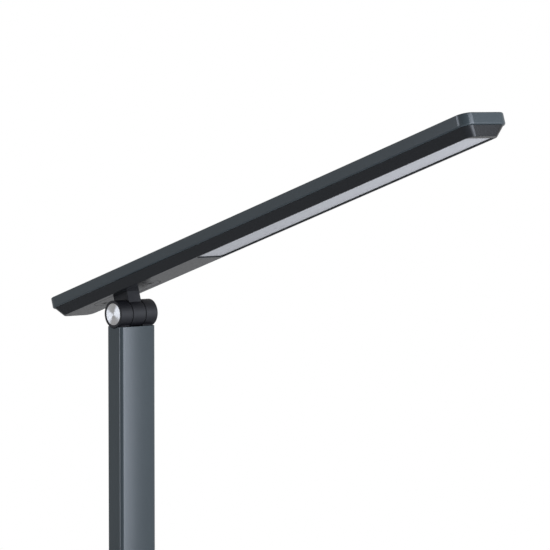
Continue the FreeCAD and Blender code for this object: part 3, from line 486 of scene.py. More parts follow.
def stud_tree(material):
    """Rows of short tapered studs over a rectangle, joined to the sheet that they stand on."""
    tree, entry, result, known = shape_tree(
        "pad_studs",
        {"Length": "NodeSocketFloat", "Width": "NodeSocketFloat", "Columns": "NodeSocketInt",
         "Rows": "NodeSocketInt", "Root Radius": "NodeSocketFloat", "Tip Radius": "NodeSocketFloat",
         "Height": "NodeSocketFloat"},
    )
    rows = shape_node(
        tree, "GeometryNodeMeshGrid",
        {"Size X": entry.outputs["Length"], "Size Y": entry.outputs["Width"],
         "Vertices X": entry.outputs["Columns"], "Vertices Y": entry.outputs["Rows"]},
    )
    stud = shape_node(
        tree, "GeometryNodeMeshCone",
        {"Radius Bottom": entry.outputs["Tip Radius"], "Radius Top": entry.outputs["Root Radius"],
         "Depth": entry.outputs["Height"]},
        {"Vertices": STUD_SIDES},
    )
    studs = shape_node(
        tree, "GeometryNodeInstanceOnPoints",
        {"Points": rows.outputs["Mesh"], "Instance": stud.outputs["Mesh"]},
    )
    joined = tree.nodes.new("GeometryNodeJoinGeometry")
    tree.links.new(entry.outputs["Geometry"], joined.inputs["Geometry"])
    tree.links.new(studs.outputs["Instances"], joined.inputs["Geometry"])
    realised(tree, result, joined.outputs["Geometry"], material)
    return tree, known


rubber = grained(
    "rubber",
    {"Color": RUBBER_BLACK, "Color Spread": 0.3, "Roughness": 0.7, "Roughness Spread": 0.15,
     "Grains per Metre": 1200.0, "Patches per Metre": 50.0},
    depth=0.01 * MILLIMETRE,
    constants={"Specular IOR Level": 0.3},
)
pad_low, pad_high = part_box("foot_pad")
pad_skin = joined_copy("foot_pad")
for corner in pad_skin.verts:
    corner.co.z = max(corner.co.z, STUD_HEIGHT)
ease(pad_skin, outer_edges(pad_skin), PAD_EASE)
foot = finished(pad_skin, "foot_sheet", rubber)
stud_length = pad_high.x - pad_low.x - 2 * (STUD_MARGIN + STUD_RADIUS)
stud_width = pad_high.y - pad_low.y - 2 * (STUD_MARGIN + STUD_RADIUS)
studs, stud_inputs = stud_tree(rubber)
grown(
    foot, studs, stud_inputs,
    {"Length": stud_length, "Width": stud_width, "Columns": round(stud_length / STUD_PITCH) + 1,
     "Rows": round(stud_width / STUD_PITCH) + 1, "Root Radius": STUD_RADIUS, "Tip Radius": STUD_TIP,
     "Height": STUD_HEIGHT + STUD_SINK},
)
fit(foot, "base", "rubber", "foot_pad")

# Base screws: four cross-recessed countersunk screws that pull the two base shells together.
# They go in from below, and the foot pad covers their heads.
SCREW_SIDES = 40
SCREW_OVERLAP = 0.1 * MILLIMETRE
RECESS_LENGTH_SHARE = 1.15
RECESS_WIDTH_SHARE = 0.26
RECESS_DEPTH_SHARE = 0.5


def screw_tree(material):
    """Countersunk screws with a cross recess, one on every point of the piece, all turned alike."""
    tree, entry, result, known = shape_tree(
        "countersunk_screws",
        {"Head Radius": "NodeSocketFloat", "Head Depth": "NodeSocketFloat", "Shank Radius": "NodeSocketFloat",
         "Shank Length": "NodeSocketFloat", "Turn": "NodeSocketVector"},
    )
    head_radius = entry.outputs["Head Radius"]
    head_depth = entry.outputs["Head Depth"]
    shank_length = entry.outputs["Shank Length"]
    head = shape_node(
        tree, "GeometryNodeMeshCone",
        {"Radius Top": head_radius, "Radius Bottom": entry.outputs["Shank Radius"], "Depth": head_depth},
        {"Vertices": SCREW_SIDES},
    )
    shank = shape_node(
        tree, "GeometryNodeMeshCylinder",
        {"Radius": entry.outputs["Shank Radius"], "Depth": shank_length},
        {"Vertices": SCREW_SIDES},
    )
    drop = shape_node(
        tree, "ShaderNodeCombineXYZ",
        {"Z": reckon(tree, "SUBTRACT", SCREW_OVERLAP, reckon(tree, "MULTIPLY", shank_length, 0.5))},
    )
    hung = shape_node(
        tree, "GeometryNodeTransform",
        {"Geometry": shank.outputs["Mesh"], "Translation": drop.outputs["Vector"]},
    )
    bar_length = reckon(tree, "MULTIPLY", head_radius, RECESS_LENGTH_SHARE)
    bar_width = reckon(tree, "MULTIPLY", head_radius, RECESS_WIDTH_SHARE)
    bar_depth = reckon(tree, "MULTIPLY", head_depth, 2 * RECESS_DEPTH_SHARE)
    top = shape_node(tree, "ShaderNodeCombineXYZ", {"Z": head_depth})
    bars = []
    for sides in ((bar_length, bar_width), (bar_width, bar_length)):
        size = shape_node(tree, "ShaderNodeCombineXYZ", {"X": sides[0], "Y": sides[1], "Z": bar_depth})
        bar = shape_node(tree, "GeometryNodeMeshCube", {"Size": size.outputs["Vector"]})
        raised = shape_node(
            tree, "GeometryNodeTransform",
            {"Geometry": bar.outputs["Mesh"], "Translation": top.outputs["Vector"]},
        )
        bars.append(raised.outputs["Geometry"])
    whole = tree.nodes.new("GeometryNodeMeshBoolean")
    whole.operation = "UNION"
    tree.links.new(head.outputs["Mesh"], whole.inputs["Mesh 2"])
    tree.links.new(hung.outputs["Geometry"], whole.inputs["Mesh 2"])
    cut = tree.nodes.new("GeometryNodeMeshBoolean")
    cut.operation = "DIFFERENCE"
    tree.links.new(whole.outputs["Mesh"], cut.inputs["Mesh 1"])
    for bar in bars:
        tree.links.new(bar, cut.inputs["Mesh 2"])
    sunk = shape_node(tree, "ShaderNodeCombineXYZ", {"Z": reckon(tree, "MULTIPLY", head_depth, -1.0)})
    flush = shape_node(
        tree, "GeometryNodeTransform",
        {"Geometry": cut.outputs["Mesh"], "Translation": sunk.outputs["Vector"]},
    )
    turn = shape_node(tree, "FunctionNodeEulerToRotation", {"Euler": entry.outputs["Turn"]})
    placed = shape_node(
        tree, "GeometryNodeInstanceOnPoints",
        {"Points": entry.outputs["Geometry"], "Instance": flush.outputs["Geometry"],
         "Rotation": turn.outputs["Rotation"]},
    )
    realised(tree, result, placed.outputs["Instances"], material)
    return tree, known


def screws(name, kind, places, outwards, head_radius, head_depth, shank_radius, length):
    """A set of like screws with their flush heads at these places, facing outwards."""
    tree, known = kind
    mesh = bpy.data.meshes.new(name)
    mesh.from_pydata(places, [], [])
    piece = bpy.data.objects.new(name, mesh)
    bpy.context.scene.collection.objects.link(piece)
    turn = Vector((0, 0, 1)).rotation_difference(outwards).to_euler()
    return grown(
        piece, tree, known,
        {"Head Radius": head_radius, "Head Depth": head_depth, "Shank Radius": shank_radius,
         "Shank Length": length - head_depth, "Turn": tuple(turn)},
    )


BASE_SCREW_HEAD = 2.5 * MILLIMETRE
BASE_SCREW_CONE = 1.3 * MILLIMETRE
BASE_SCREW_SHANK = 1.25 * MILLIMETRE
base_screw_low, base_screw_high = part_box("base_screws")
base_screw_reach = base_screw_high.x - BASE_SCREW_HEAD
base_screw_spread = base_screw_high.y - BASE_SCREW_HEAD
base_screw_places = [
    (side * base_screw_reach, way * base_screw_spread, base_screw_low.z)
    for side in (-1, 1)
    for way in (-1, 1)
]
plated_screws = screw_tree(steel)
shell_screws = screws(
    "shell_screws", plated_screws, base_screw_places, Vector((0, 0, -1)),
    BASE_SCREW_HEAD, BASE_SCREW_CONE, BASE_SCREW_SHANK, base_screw_high.z - base_screw_low.z,
)
fit(shell_screws, "base", "steel", "base_screws")

# Hinge hardware: in both hinges a hollow steel axle, its nut, disc springs and fibre washers.
# The springs press the knuckles together, so the lamp stays where it is put.
FIBRE = (0.07, 0.07, 0.072, 1)
dress(
    steel,
    "lower_axle", "lower_axle_nut", "lower_disc_springs",
    "upper_axle", "upper_axle_nut", "upper_disc_springs",
)
dress(
    grained(
        "washer",
        {"Color": FIBRE, "Color Spread": 0.3, "Roughness": 0.7, "Roughness Spread": 0.1,
         "Grains per Metre": 2000.0, "Patches per Metre": 150.0},
        depth=0.003 * MILLIMETRE,
        constants={"Specular IOR Level": 0.3},
    ),
    "lower_friction_washers", "upper_friction_washers",
)

# Hinge caps: thin aluminium discs, faced on a lathe, that close the four ends of the barrels.
# The fine rings of the lathe, a slight spiral, make two bright and two dark sectors.
CAP_STEPS = 120
CAP_ROUND = 0.2 * MILLIMETRE
RINGS_PER_METRE = 5200.0
RING_DETAIL = 2
RING_DEPTH = 0.002 * MILLIMETRE
RING_TONE_LOW = 0.88
RING_TONE_SPREAD = 0.24
ALUMINIUM = (0.8, 0.795, 0.79, 1)


def lathe_group():
    """Fine rings round a centre line along Y, uneven as a facing tool leaves them."""
    group, entry, result = shader_group(
        "lathe_rings",
        [
            ("Centre", "NodeSocketVector", (0, 0, 0)),
            ("Rings per Metre", "NodeSocketFloat", RINGS_PER_METRE),
        ],
        [("Height", "NodeSocketFloat"), ("Tone", "NodeSocketFloat")],
    )
    place = group.nodes.new("ShaderNodeTexCoord").outputs["Object"]
    offset = group.nodes.new("ShaderNodeVectorMath")
    offset.operation = "SUBTRACT"
    group.links.new(place, offset.inputs[0])
    group.links.new(entry.outputs["Centre"], offset.inputs[1])
    flat = group.nodes.new("ShaderNodeVectorMath")
    flat.operation = "MULTIPLY"
    flat.inputs[1].default_value = (1, 0, 1)
    group.links.new(offset.outputs["Vector"], flat.inputs[0])
    reach = group.nodes.new("ShaderNodeVectorMath")
    reach.operation = "LENGTH"
    group.links.new(flat.outputs["Vector"], reach.inputs[0])
    rings = group.nodes.new("ShaderNodeTexNoise")
    rings.noise_dimensions = "1D"
    rings.inputs["Detail"].default_value = RING_DETAIL
    group.links.new(reach.outputs["Value"], rings.inputs["W"])
    group.links.new(entry.outputs["Rings per Metre"], rings.inputs["Scale"])
    group.links.new(rings.outputs["Fac"], result.inputs["Height"])
    shift = reckon(group, "MULTIPLY", rings.outputs["Fac"], RING_TONE_SPREAD)
    tone = reckon(group, "ADD", shift, RING_TONE_LOW)
    group.links.new(tone, result.inputs["Tone"])
    return group


lathe_rings = lathe_group()


def faced_aluminium(name, centre):
    """Bright aluminium with lathe rings about a centre, stretched highlights and all."""
    material, tree, shader = new_finish(
        name, {"Metallic": 1.0, "Roughness": 0.4, "Anisotropic": 0.97, "Anisotropic Rotation": 0.23},
    )
    rings = place_group(tree, lathe_rings, {"Centre": centre})
    tint = tree.nodes.new("ShaderNodeHueSaturation")
    tint.inputs["Color"].default_value = ALUMINIUM
    tree.links.new(rings.outputs["Tone"], tint.inputs["Value"])
    tree.links.new(tint.outputs["Color"], shader.inputs["Base Color"])
    around = tree.nodes.new("ShaderNodeTangent")
    around.direction_type = "RADIAL"
    around.axis = "Y"
    tree.links.new(around.outputs["Tangent"], shader.inputs["Tangent"])
    bump_from(tree, shader, rings.outputs["Height"], RING_DEPTH)
    return material


def hinge_caps(hinge, body):
    """The two end caps of one hinge."""
    for end, way in (("near", -1), ("far", 1)):
        node = f"{hinge}_cap_{end}"
        low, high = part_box(node)
        middle = (low + high) / 2
        radius = (high.x - low.x) / 2
        thickness = high.y - low.y
        profile = [(0, 0), (radius, 0)] + quarter(radius, thickness, CAP_ROUND) + [(0, thickness)]
        upright = Vector((0, 0, 1)).rotation_difference((0, way, 0)).to_matrix().to_4x4()
        inner = low.y if way > 0 else high.y
        place = Matrix.Translation((middle.x, inner, middle.z)) @ upright
        centre = (middle.x, 0, middle.z)
        cap = finished(turned(profile, CAP_STEPS, place), f"{node}_disc", faced_aluminium(node, centre))
        fit(cap, body, "brushed_cap", node)


hinge_caps("lower", "base")

# Stem foot: a black die-cast knuckle whose tongue slides up into the stem.
# It turns between the bracket's knuckles, on the lower axle.
stem_foot = eased("stem_bottom_knuckle", "stem_foot", black_casting, CASTING_EASE)
fit(stem_foot, "stem", "black_casting", "stem_bottom_knuckle")

# Stem: a flat aluminium tube in satin anthracite, extruded with slightly crowned faces.
# Both ends are milled hollow to follow the hinge barrels.
STEM_CROWN = 0.63 * MILLIMETRE
STEM_SIDE_CROWN = 0.1 * MILLIMETRE
STEM_EASE = 0.2 * MILLIMETRE
CROWN_CUTS = 15
stem_low, stem_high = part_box("stem_tube")
stem_middle = (stem_low + stem_high) / 2
stem_half = (stem_high - stem_low) / 2


def cut_across(skin, point, direction):
    """Adds a line of edges round a skin where a plane crosses it."""
    parts = skin.verts[:] + skin.edges[:] + skin.faces[:]
    bmesh.ops.bisect_plane(skin, geom=parts, dist=JOIN_DISTANCE, plane_co=point, plane_no=direction)


def crowned_stem():
    """The stem's tube, its faces swelling a little from their edges to their middle."""
    skin = joined_copy("stem_tube")
    ease(skin, outer_edges(skin), STEM_EASE)
    for cut in range(1, CROWN_CUTS):
        share = 2 * cut / CROWN_CUTS - 1
        cut_across(skin, stem_middle + Vector((0, share * stem_half.y, 0)), (0, 1, 0))
        cut_across(skin, stem_middle + Vector((share * stem_half.x, 0, 0)), (1, 0, 0))
    for corner in skin.verts:
        across = (corner.co.y - stem_middle.y) / stem_half.y
        through = (corner.co.x - stem_middle.x) / stem_half.x
        corner.co.x -= STEM_CROWN * through * across ** 2
        corner.co.y -= STEM_SIDE_CROWN * across * through ** 2
    return skin


stem = finished(crowned_stem(), "stem", anthracite)
fit(stem, "stem", "anthracite", "stem_tube")

# Stem head: a black die-cast fork with the two outer knuckles of the upper hinge.
# Its tongue slides down into the stem, and the knuckles carry the axle and the caps.
stem_fork = eased("stem_top_bracket", "stem_fork", black_casting, CASTING_EASE)
fit(stem_fork, "stem", "black_casting", "stem_top_bracket")
hinge_caps("upper", "stem")

# Stem screws: four black countersunk screws through the back of the tube.
# They hold the stem's foot and its fork by their tongues.
STEM_SCREW_HEAD = 2.5 * MILLIMETRE
STEM_SCREW_CONE = 1.2 * MILLIMETRE
STEM_SCREW_SHANK = 1.25 * MILLIMETRE
SCREW_BLACK = (0.02, 0.02, 0.022, 1)
black_steel = grained(
    "black_screws",
    {"Color": SCREW_BLACK, "Color Spread": 0.3, "Roughness": 0.35, "Roughness Spread": 0.15,
     "Grains per Metre": 3000.0, "Patches per Metre": 500.0},
    depth=0.002 * MILLIMETRE,
    constants={"Metallic": 0.6},
)
black_screws = screw_tree(black_steel)
screw_low, screw_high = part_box("stem_screws")
stem_screw_places = [
    (screw_low.x, way * (screw_high.y - STEM_SCREW_HEAD), height)
    for way in (-1, 1)
    for height in (screw_low.z + STEM_SCREW_HEAD, screw_high.z - STEM_SCREW_HEAD)
]
tube_screws = screws(
    "tube_screws", black_screws, stem_screw_places, Vector((-1, 0, 0)),
    STEM_SCREW_HEAD, STEM_SCREW_CONE, STEM_SCREW_SHANK, screw_high.x - screw_low.x,
)
fit(tube_screws, "stem", "black_screws", "stem_screws")

# Neck: a black die-cast knuckle with a short neck and a flush oblong plate.
# It turns between the fork's knuckles. Its plate is let into the bar's underside, as glossy as that is.
NECK_EASE = 0.1 * MILLIMETRE
PLATE_REACH = 0.05 * MILLIMETRE
BAR_TILT = radians(18)
hinge_point = Vector(next(joint["pos_m"] for joint in frame["joints"] if joint["name"] == "head_tilt"))
bar_place = Matrix.Translation(hinge_point) @ Matrix.Rotation(-BAR_TILT, 4, "Y")
to_bar = bar_place.inverted()


def bar_box(node):
    """The lowest and highest corners of one of the bar's nodes, in the bar's own untilted frame."""
    corners = [to_bar @ vert.co for vert in frame["nodes"][node].data.vertices]
    low = Vector([min(corner[axis] for corner in corners) for axis in range(3)])
    high = Vector([max(corner[axis] for corner in corners) for axis in range(3)])
    return low, high


neck = eased("head_knuckle", "neck", black_casting, NECK_EASE)
neck.data.materials.append(black_plastic)
underside = bar_box("head_housing")[0].z
for face in neck.data.polygons:
    if abs((to_bar @ face.center).z - underside) < PLATE_REACH:
        face.material_index = 1
fit(neck, "head", "black_casting", "head_knuckle")

# Back plate: a stamped steel strip, zinc-plated, that lies inside the bar above the neck's plate.
# The neck's two screws are driven into it and clamp the housing between the two plates.
dress(steel, "hinge_backplate")

# Neck screws: two black countersunk steel screws, flush in the oblong plate.
# They go up through the bar's housing into the back plate.
NECK_SCREW_HEAD = 2.5 * MILLIMETRE
NECK_SCREW_CONE = 1.2 * MILLIMETRE
NECK_SCREW_SHANK = 1.25 * MILLIMETRE
neck_screw_low, neck_screw_high = bar_box("hinge_screws")
neck_screw_places = [
    bar_place @ Vector((along, 0, neck_screw_low.z))
    for along in (neck_screw_low.x + NECK_SCREW_HEAD, neck_screw_high.x - NECK_SCREW_HEAD)
]
neck_screws = screws(
    "neck_screws", black_screws, neck_screw_places, bar_place.to_3x3() @ Vector((0, 0, -1)),
    NECK_SCREW_HEAD, NECK_SCREW_CONE, NECK_SCREW_SHANK, neck_screw_high.z - neck_screw_low.z,
)
fit(neck_screws, "head", "black_screws", "hinge_screws")

# Bar housing: the lower shell of the light bar, moulded in black ABS with sloped sides.
# Its flat underside holds the window of the panel and the pocket of the neck's plate.
bar_shell = eased("head_housing", "bar_shell", black_plastic, HOUSING_EASE)
fit(bar_shell, "head", "black_plastic", "head_housing")

# Panel: a strip of opal acrylic with a fine prism pattern, which spreads the light.
# It lies on the window's ledge, a little inside the rim, and its lower face swells slightly.
# Switched off it shows pale grey.
PANEL_EASE = 0.15 * MILLIMETRE
PANEL_CROWN = 0.12 * MILLIMETRE
PANEL_CUTS = 12
OPAL = (0.625, 0.619, 0.619, 1)
PRISMS_PER_METRE = 900.0
PRISM_TURN = radians(45)
PRISM_DEPTH = 0.05 * MILLIMETRE


def opal_finish():
    """Opal acrylic: pale and slightly cloudy, with rows of fine prisms along the bar."""
    material, tree, shader = new_finish("opal_panel", {"Specular IOR Level": 0.4})
    surface = place_group(
        tree, surface_grain,
        {"Color": OPAL, "Color Spread": 0.06, "Roughness": 0.5, "Roughness Spread": 0.08,
         "Grains per Metre": 1400.0, "Patches per Metre": 40.0},
    )
    coords = tree.nodes.new("ShaderNodeTexCoord")
    level = tree.nodes.new("ShaderNodeMapping")
    level.inputs["Rotation"].default_value = (0, BAR_TILT, PRISM_TURN)
    tree.links.new(coords.outputs["Object"], level.inputs["Vector"])
    prisms = tree.nodes.new("ShaderNodeTexVoronoi")
    prisms.distance = "CHEBYCHEV"
    prisms.inputs["Scale"].default_value = PRISMS_PER_METRE
    prisms.inputs["Randomness"].default_value = 0.0
    tree.links.new(level.outputs["Vector"], prisms.inputs["Vector"])
    tree.links.new(surface.outputs["Color"], shader.inputs["Base Color"])
    tree.links.new(surface.outputs["Roughness"], shader.inputs["Roughness"])
    bump_from(tree, shader, prisms.outputs["Distance"], PRISM_DEPTH)
    return material


def crowned_panel():
    """The panel, its lower face rising a little from its middle line to its long edges."""
    skin = joined_copy("diffuser_panel")
    ease(skin, outer_edges(skin), PANEL_EASE)
    low, high = bar_box("diffuser_panel")
    middle = (low.y + high.y) / 2
    half = (high.y - low.y) / 2
    for cut in range(1, PANEL_CUTS):
        share = 2 * cut / PANEL_CUTS - 1
        cut_across(skin, Vector((0, middle + share * half, 0)), (0, 1, 0))
    rise = bar_place.to_3x3() @ Vector((0, 0, PANEL_CROWN))
    for corner in skin.verts:
        if (to_bar @ corner.co).z < low.z + 2 * PANEL_EASE:
            corner.co += rise * ((corner.co.y - middle) / half) ** 2
    return skin


panel = finished(crowned_panel(), "panel", opal_finish())
fit(panel, "head", "opal_panel", "diffuser_panel")

# Light engine: a white reflector frame, an aluminium spreader and a white board below it.
# The board carries a row of small light chips, each with a yellow dome, over the panel.
CHIP_COUNT = 24
CHIP_SIZE = (3.5 * MILLIMETRE, 2.8 * MILLIMETRE, 0.45 * MILLIMETRE)
CHIP_DOME = 1.1 * MILLIMETRE
CHIP_DOME_FLATNESS = 0.22
WHITE = (0.8, 0.8, 0.79, 1)
SOLDER_MASK = (0.74, 0.74, 0.72, 1)
PHOSPHOR = (0.78, 0.6, 0.12, 1)
SHEET_ALUMINIUM = (0.7, 0.7, 0.71, 1)
dress(
    grained(
        "white_reflector",
        {"Color": WHITE, "Color Spread": 0.05, "Roughness": 0.45, "Roughness Spread": 0.1,
         "Grains per Metre": 1500.0, "Patches per Metre": 40.0},
        depth=0.004 * MILLIMETRE,
        constants={},
    ),
    "reflector_frame",
)
dress(
    grained(
        "spreader",
        {"Color": SHEET_ALUMINIUM, "Color Spread": 0.1, "Roughness": 0.4, "Roughness Spread": 0.2,
         "Grains per Metre": 1800.0, "Patches per Metre": 30.0},
        depth=0.003 * MILLIMETRE,
        constants={"Metallic": 1.0},
    ),
    "heat_spreader",
)
dress(
    grained(
        "white_board",
        {"Color": SOLDER_MASK, "Color Spread": 0.06, "Roughness": 0.35, "Roughness Spread": 0.1,
         "Grains per Metre": 1000.0, "Patches per Metre": 60.0},
        depth=0.006 * MILLIMETRE,
        constants={},
    ),
    "led_board",
)
phosphor = grained(
    "phosphor",
    {"Color": PHOSPHOR, "Color Spread": 0.12, "Roughness": 0.4, "Roughness Spread": 0.1,
     "Grains per Metre": 2500.0, "Patches per Metre": 300.0},
    depth=0.003 * MILLIMETRE,
    constants={"Coat Weight": 0.2},
)


def chip_tree(material):
    """A straight row of light chips, each a flat case with a low dome under it."""
    tree, entry, result, known = shape_tree(
        "light_chips",
        {"Start": "NodeSocketVector", "Step": "NodeSocketVector", "Count": "NodeSocketInt",
         "Case": "NodeSocketVector", "Dome Radius": "NodeSocketFloat", "Turn": "NodeSocketVector"},
    )
    row = shape_node(
        tree, "GeometryNodeMeshLine",
        {"Count": entry.outputs["Count"], "Start Location": entry.outputs["Start"],
         "Offset": entry.outputs["Step"]},
    )
    case = shape_node(tree, "GeometryNodeMeshCube", {"Size": entry.outputs["Case"]})
    ball = shape_node(
        tree, "GeometryNodeMeshIcoSphere", {"Radius": entry.outputs["Dome Radius"]}, {"Subdivisions": 3},
    )
    parts = shape_node(tree, "ShaderNodeSeparateXYZ", {"Vector": entry.outputs["Case"]})
    fall = shape_node(
        tree, "ShaderNodeCombineXYZ", {"Z": reckon(tree, "MULTIPLY", parts.outputs["Z"], -0.5)},
    )
    dome = shape_node(
        tree, "GeometryNodeTransform",
        {"Geometry": ball.outputs["Mesh"], "Translation": fall.outputs["Vector"]},
        {"Scale": (1, 1, CHIP_DOME_FLATNESS)},
    )
    chip = tree.nodes.new("GeometryNodeMeshBoolean")
    chip.operation = "UNION"
    tree.links.new(case.outputs["Mesh"], chip.inputs["Mesh 2"])
    tree.links.new(dome.outputs["Geometry"], chip.inputs["Mesh 2"])
    turn = shape_node(tree, "FunctionNodeEulerToRotation", {"Euler": entry.outputs["Turn"]})
    placed = shape_node(
        tree, "GeometryNodeInstanceOnPoints",
        {"Points": row.outputs["Mesh"], "Instance": chip.outputs["Mesh"],
         "Rotation": turn.outputs["Rotation"]},
    )
    realised(tree, result, placed.outputs["Instances"], material)
    return tree, known


chip_low, chip_high = bar_box("led_chips")
chip_height = chip_high.z - CHIP_SIZE[2] / 2
first_chip = bar_place @ Vector((chip_low.x + CHIP_SIZE[0] / 2, 0, chip_height))
last_chip = bar_place @ Vector((chip_high.x - CHIP_SIZE[0] / 2, 0, chip_height))
chip_row = bpy.data.objects.new("chip_row", bpy.data.meshes.new("chip_row"))
bpy.context.scene.collection.objects.link(chip_row)
chips, chip_inputs = chip_tree(phosphor)
grown(
    chip_row, chips, chip_inputs,
    {"Start": tuple(first_chip), "Step": tuple((last_chip - first_chip) / (CHIP_COUNT - 1)),
     "Count": CHIP_COUNT, "Case": CHIP_SIZE, "Dome Radius": CHIP_DOME, "Turn": (0, -BAR_TILT, 0)},
)
fit(chip_row, "head", "phosphor", "led_chips")

# Bar cover: the upper shell of the light bar, aluminium in the same satin anthracite.
# It fits over the housing, and its lower rim has a larger radius that catches the light.
LIP_EASE = 1.1 * MILLIMETRE
LIP_REACH = 0.02 * MILLIMETRE
LIP_SIDE_LEAN = 0.5
cover_low, cover_high = bar_box("head_cover")
rim_start = cover_low.x + cover_high.y
rim_end = cover_high.x - cover_high.y


def lip_edges(skin):
    """The outer edges along the cover's lower rim, in the bar's own frame."""
    found = []
    for edge in outer_edges(skin):
        ends = [to_bar @ vert.co for vert in edge.verts]
        if any(abs(end.z - cover_low.z) > LIP_REACH for end in ends):
            continue
        middle = (ends[0] + ends[1]) / 2
        spine = Vector((min(max(middle.x, rim_start), rim_end), 0, middle.z))
        sides = [to_bar.to_3x3() @ face.normal for face in edge.link_faces]
        if any(abs(side.z) < LIP_SIDE_LEAN and side.dot(middle - spine) > 0 for side in sides):
            found.append(edge)
    return found


cover_skin = joined_copy("head_cover")
ease(cover_skin, lip_edges(cover_skin), LIP_EASE)
bar_cover = finished(cover_skin, "bar_cover", anthracite)
fit(bar_cover, "head", "anthracite", "head_cover")

# Floor: a pale matt table top under the lamp, no part of it.
# It is a plain disc that fades towards its rim into the white surround.
FLOOR_RADIUS = 2.4
FLOOR_CLEAR = 0.7
FLOOR_GONE = 1.5
FLOOR_DROP = 0.05 * MILLIMETRE
FLOOR_SIDES = 96
PALE = (0.546, 0.546, 0.546, 1)


def floor_finish():
    """Matt and pale, clear towards its rim and from below, so that no edge shows and nothing is hidden."""
    material, tree, shader = new_finish("pale_floor", {"Base Color": PALE, "Roughness": 0.9})
    coords = tree.nodes.new("ShaderNodeTexCoord")
    reach = tree.nodes.new("ShaderNodeVectorMath")
    reach.operation = "LENGTH"
    tree.links.new(coords.outputs["Object"], reach.inputs[0])
    fade = tree.nodes.new("ShaderNodeMapRange")
    fade.interpolation_type = "SMOOTHSTEP"
    fade.inputs["From Min"].default_value = FLOOR_CLEAR
    fade.inputs["From Max"].default_value = FLOOR_GONE
    fade.inputs["To Min"].default_value = 1.0
    fade.inputs["To Max"].default_value = 0.0
    tree.links.new(reach.outputs["Value"], fade.inputs["Value"])
    below = tree.nodes.new("ShaderNodeNewGeometry").outputs["Backfacing"]
    above = reckon(tree, "SUBTRACT", 1.0, below)
    tree.links.new(reckon(tree, "MULTIPLY", fade.outputs["Result"], above), shader.inputs["Alpha"])
    return material


floor_skin = bmesh.new()
bmesh.ops.create_circle(
    floor_skin, cap_ends=True, segments=FLOOR_SIDES, radius=FLOOR_RADIUS,
    matrix=Matrix.Translation((0, 0, -FLOOR_DROP)),
)
floor = finished(floor_skin, "floor", floor_finish())

# Light: a large soft box on the right, a narrower one on the left and a soft ceiling.
# They stand in a white room that is darker overhead and in front.
ROOM_GLOW = 0.664
SHADE_BEARING = radians(20)
SHADE_DEPTH = 0.395
ZENITH_SHADE = 0.6
BACKDROP = 1.0
SOFT_BOXES = {
    "right_box": {"bearing": 104.0, "distance": 1.6, "width": 1.14, "tall": 1.6, "watts": 33.6},
    "left_box": {"bearing": -19.5, "distance": 1.8, "width": 0.5, "tall": 1.6, "watts": 14.2},
}
BOX_HEIGHT = 0.45
DAYLIGHT = (0.82, 0.88, 1.0)
CEILING_HEIGHT = 1.9
CEILING_OFFSET = 1.0 * MILLIMETRE
CEILING_SIZE = 1.6
CEILING_WATTS = 5.1


def soft_box(name, place, aim, width, tall, watts):
    """A rectangular light at a place, facing a point."""
    lamp = bpy.data.lights.new(name, "AREA")
    lamp.color = DAYLIGHT
    lamp.shape = "RECTANGLE"
    lamp.size = width
    lamp.size_y = tall
    lamp.energy = watts
    box = bpy.data.objects.new(name, lamp)
    box.location = place
    box.rotation_euler = (aim - place).to_track_quat("-Z", "Y").to_euler()
    box.visible_camera = False
    bpy.context.scene.collection.objects.link(box)


for name, box in SOFT_BOXES.items():
    bearing = radians(box["bearing"])
    away = Vector((sin(bearing), -cos(bearing), 0)) * box["distance"]
    spot = Vector((hinge_point.x, hinge_point.y, BOX_HEIGHT)) + away
    soft_box(name, spot, hinge_point, box["width"], box["tall"], box["watts"])
ceiling_spot = Vector((0, CEILING_OFFSET, CEILING_HEIGHT))
soft_box("ceiling", ceiling_spot, Vector((0, 0, 0)), CEILING_SIZE, CEILING_SIZE, CEILING_WATTS)

room = bpy.data.worlds.new("white_room")
room.use_nodes = True
room_tree = room.node_tree
room_tree.nodes.clear()
glow = room_tree.nodes.new("ShaderNodeBackground")
outlook = room_tree.nodes.new("ShaderNodeTexCoord")
facing = room_tree.nodes.new("ShaderNodeVectorMath")
facing.operation = "DOT_PRODUCT"
facing.inputs[1].default_value = (sin(SHADE_BEARING), -cos(SHADE_BEARING), 0)
room_tree.links.new(outlook.outputs["Generated"], facing.inputs[0])
shade = reckon(room_tree, "MULTIPLY", facing.outputs["Value"], -SHADE_DEPTH * ROOM_GLOW)
heights = room_tree.nodes.new("ShaderNodeSeparateXYZ")
room_tree.links.new(outlook.outputs["Generated"], heights.inputs["Vector"])
overhead = reckon(room_tree, "MAXIMUM", heights.outputs["Z"], 0.0)
dimmed = reckon(room_tree, "MULTIPLY", overhead, -ZENITH_SHADE * ROOM_GLOW)
level = reckon(room_tree, "ADD", reckon(room_tree, "ADD", shade, ROOM_GLOW), dimmed)
room_tree.links.new(level, glow.inputs["Strength"])
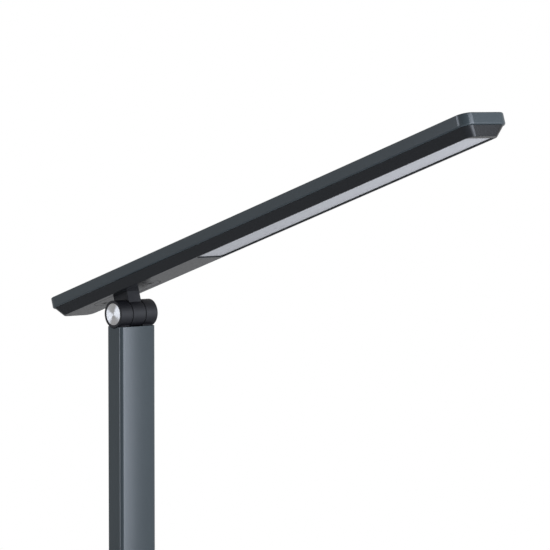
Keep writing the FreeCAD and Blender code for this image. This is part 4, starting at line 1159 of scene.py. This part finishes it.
backdrop = room_tree.nodes.new("ShaderNodeBackground")
backdrop.inputs["Color"].default_value = (1, 1, 1, 1)
backdrop.inputs["Strength"].default_value = BACKDROP
ray = room_tree.nodes.new("ShaderNodeLightPath")
either = room_tree.nodes.new("ShaderNodeMixShader")
surround = room_tree.nodes.new("ShaderNodeOutputWorld")
room_tree.links.new(ray.outputs["Is Camera Ray"], either.inputs["Fac"])
room_tree.links.new(glow.outputs["Background"], either.inputs[1])
room_tree.links.new(backdrop.outputs["Background"], either.inputs[2])
room_tree.links.new(either.outputs["Shader"], surround.inputs["Surface"])
bpy.context.scene.world = room
bpy.context.scene.view_settings.view_transform = "Standard"

# Camera: a long lens a little above the hinge, on the bar's near side.
# The upper hinge's middle lies at a set pixel of the 550-pixel frame, at a set depth.
FRAME_PIXELS = 550
SENSOR_WIDTH = 36
VIEW_AZIMUTH = radians(48.369)
VIEW_PITCH = radians(3.424)
FOCAL_PIXELS = 3072.4
HINGE_PIXEL = (131.246, 313.231)
HINGE_DEPTH = 1.95927
forward = Vector((
    -sin(VIEW_AZIMUTH) * cos(VIEW_PITCH),
    cos(VIEW_AZIMUTH) * cos(VIEW_PITCH),
    -sin(VIEW_PITCH),
))
rightwards = Vector((cos(VIEW_AZIMUTH), sin(VIEW_AZIMUTH), 0))
upwards = rightwards.cross(forward)
sideways_share = (HINGE_PIXEL[0] - FRAME_PIXELS / 2) / FOCAL_PIXELS
upwards_share = (FRAME_PIXELS / 2 - HINGE_PIXEL[1]) / FOCAL_PIXELS
sight = forward + rightwards * sideways_share + upwards * upwards_share
lens = bpy.data.cameras.new("camera")
lens.sensor_width = SENSOR_WIDTH
lens.lens = SENSOR_WIDTH * FOCAL_PIXELS / FRAME_PIXELS
camera = bpy.data.objects.new("camera", lens)
turned_to = Matrix((rightwards, upwards, -forward)).transposed().to_4x4()
camera.matrix_world = Matrix.Translation(hinge_point - sight * HINGE_DEPTH) @ turned_to
bpy.context.scene.collection.objects.link(camera)
bpy.context.scene.camera = camera
